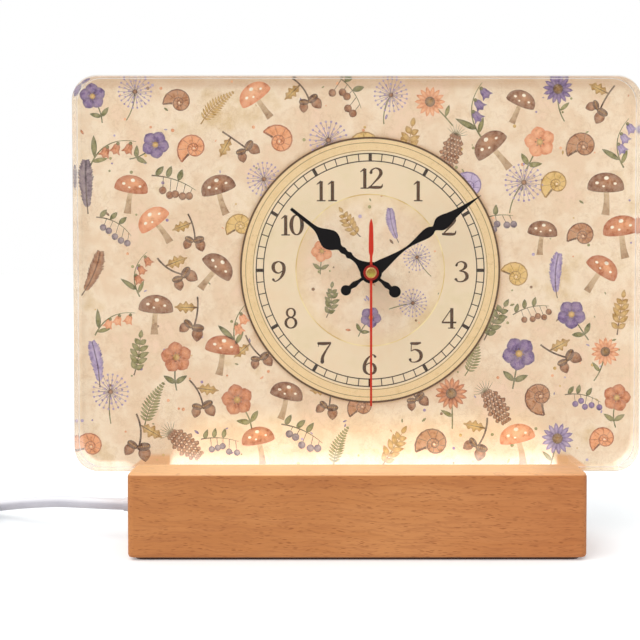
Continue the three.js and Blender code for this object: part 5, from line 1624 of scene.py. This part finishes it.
def draw_stroke(ink, stroke):
    """One stroke of a numeral, smoothed where it has more than two points, with round ends."""
    points = [Vector(point) for point in stroke]
    if len(points) > 2:
        points = smooth_line(points, 4)
    middles = [complex(point.x * NUMERAL_WIDEN, point.y) for point in points]
    widths = [point.z * NUMERAL_BOLD for point in points]
    ink.stroke(middles, widths, UMBER[0])
    for middle, width in ((middles[0], widths[0]), (middles[-1], widths[-1])):
        if len(stroke) > 2 and width > NUMERAL_BALL:
            ink.fan(disc(middle, width / 2, 12), *UMBER)


def make_dial():
    make_ring("dial_ring", DIAL_INNER, DIAL_OUTER, DIAL_PLACE, dial_face())
    make_ring("dial_roundel", *ROUNDEL_REACH, MARKS_PLACE, roundel_gold())
    make_numerals()


# Materials of the CAD nodes that stay

SILVER = (tone(150, 150, 154), tone(206, 206, 208))
IRON = (tone(112, 112, 114), tone(150, 150, 152))
MAGNET = (tone(74, 74, 76), tone(104, 104, 106))
GOLD = (tone(176, 150, 74), tone(216, 192, 112))


def dress_nodes():
    slots = {
        "beech": beech(), "pad_rubber": pad_rubber(), "black_plastic": moulded_black(),
        "steel": metal("nickel_steel", *SILVER), "light_board": light_board(),
        "cable_white": plug_white(), "acrylic": clear_acrylic(), "print": printed_ground(),
        "foam": foam_tape(), "train_plastic": wheel_plastic(), "copper": coil_copper(),
        "green_board": circuit_green(), "battery_sleeve": cell_sleeve(),
        "magnet": metal("sintered_magnet", *MAGNET, 0.45, 0.4),
        "brass": metal("turned_brass", *GOLD, 0.26, 0.8), "hand_black": hand_black(),
        "hand_red": hand_red(),
    }
    own = {
        "usb_plug_tongue": plug_tongue(),
        "stator": metal("lamination_steel", *IRON, 0.4, 3, (1, 1, 0.1)),
        "chip_blob": moulded_black("chip_resin", 0.8), "cable_sleeve": cord_plastic("sleeve_skin"),
        "centre_cap": cap_brass(),
    }
    for subpart in frame["record"]["subparts"]:
        name = subpart["node"]
        for slot in NODES[name].material_slots:
            slot.material = own.get(name) or slots[subpart["material_slot"]]


# The base's worn edges, the floor, the lamp and the world

EDGE_WEAR = 0.3
EDGE_SEGMENTS = 3
EDGE_ANGLE = 30
FLOOR_REACH = 6000
FLOOR_LIGHT = 0.27
FLOOR_TINT = (0.8, 0.93, 1)
# Its own light grows between these distances from its middle, over a patch twice as wide as deep
FLOOR_FADE = (40, 200)
FLOOR_MIDDLE = 20
FLOOR_SQUASH = 0.25
FLOOR_DIMMEST = 0.7
SUN_WAY = (-0.5, -0.55, 0.75)
SUN_STRENGTH = 1.35
SUN_ANGLE = 60
SKY = 0.82
SKY_SEEN = 1 - SKY
SKY_MIRRORED = -0.7  # so that the block's polished face lays no white veil over the print


def soften_edges():
    """Rounds the base's long chamfers a little."""
    bevel = NODES["wood_base"].modifiers.new("worn_edges", "BEVEL")
    bevel.width = EDGE_WEAR * MM
    bevel.segments = EDGE_SEGMENTS
    bevel.limit_method = "ANGLE"
    bevel.angle_limit = math.radians(EDGE_ANGLE)


def make_floor():
    signs = ((-1, -1), (1, -1), (1, 1), (-1, 1))
    corners = [Vector((x, y, 0)) * FLOOR_REACH * MM for x, y in signs]
    mesh = bpy.data.meshes.new("floor")
    mesh.from_pydata([tuple(corner) for corner in corners], [], [(0, 1, 2, 3)])
    paint = Paint("floor_paper", Roughness=0.9, Specular_IOR_Level=0.1)
    x, y, _ = paint.axes()
    grain = paint.noise(2.0, 3.0)
    far = (x * x * FLOOR_SQUASH + (y - FLOOR_MIDDLE) * (y - FLOOR_MIDDLE)) ** 0.5
    lit = far.ease(*FLOOR_FADE, FLOOR_DIMMEST, 1.0) * paint.node("LightPath", out=0)
    paint.feed("Base Color", paint.mix(grain, tone(248, 248, 248), tone(250, 250, 250)))
    paint.feed("Emission Color", paint.mix(lit, (0, 0, 0), FLOOR_TINT))
    paint.feed("Emission Strength", FLOOR_LIGHT)
    mesh.materials.append(paint.material)
    floor = add_object("floor", mesh)
    # The block's polished face doesn't mirror it over the print
    floor.visible_glossy = False
    floor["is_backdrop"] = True


def make_sun():
    """The one lamp, from the upper left. Its wide angle softens the shadows."""
    data = bpy.data.lights.new("key", "SUN")
    data.energy = SUN_STRENGTH
    data.angle = math.radians(SUN_ANGLE)
    add_object("key", data).rotation_euler = Vector(SUN_WAY).to_track_quat("Z", "Y").to_euler()


def make_world():
    world = bpy.data.worlds.new("studio")
    sky = Tree(world)
    camera_ray, sharp, mirrored, through = [sky.node("LightPath", out=out) for out in (0, 4, 5, 6)]
    strength = (camera_ray + through) * SKY_SEEN + sharp * mirrored * SKY_MIRRORED + SKY
    background = sky.tree.nodes["Background"]
    sky.join(background.inputs["Color"], (1, 1, 1))
    sky.join(background.inputs["Strength"], strength)
    bpy.context.scene.world = world


bpy.context.scene.view_settings.view_transform = "Standard"
make_camera()
make_cable()
make_block()
dress_nodes()
soften_edges()
make_print()
make_dial()
make_floor()
make_sun()
make_world()
bpy.context.view_layer.update()
[[list(corner) for corner in box] for box in (cad_box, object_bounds())]
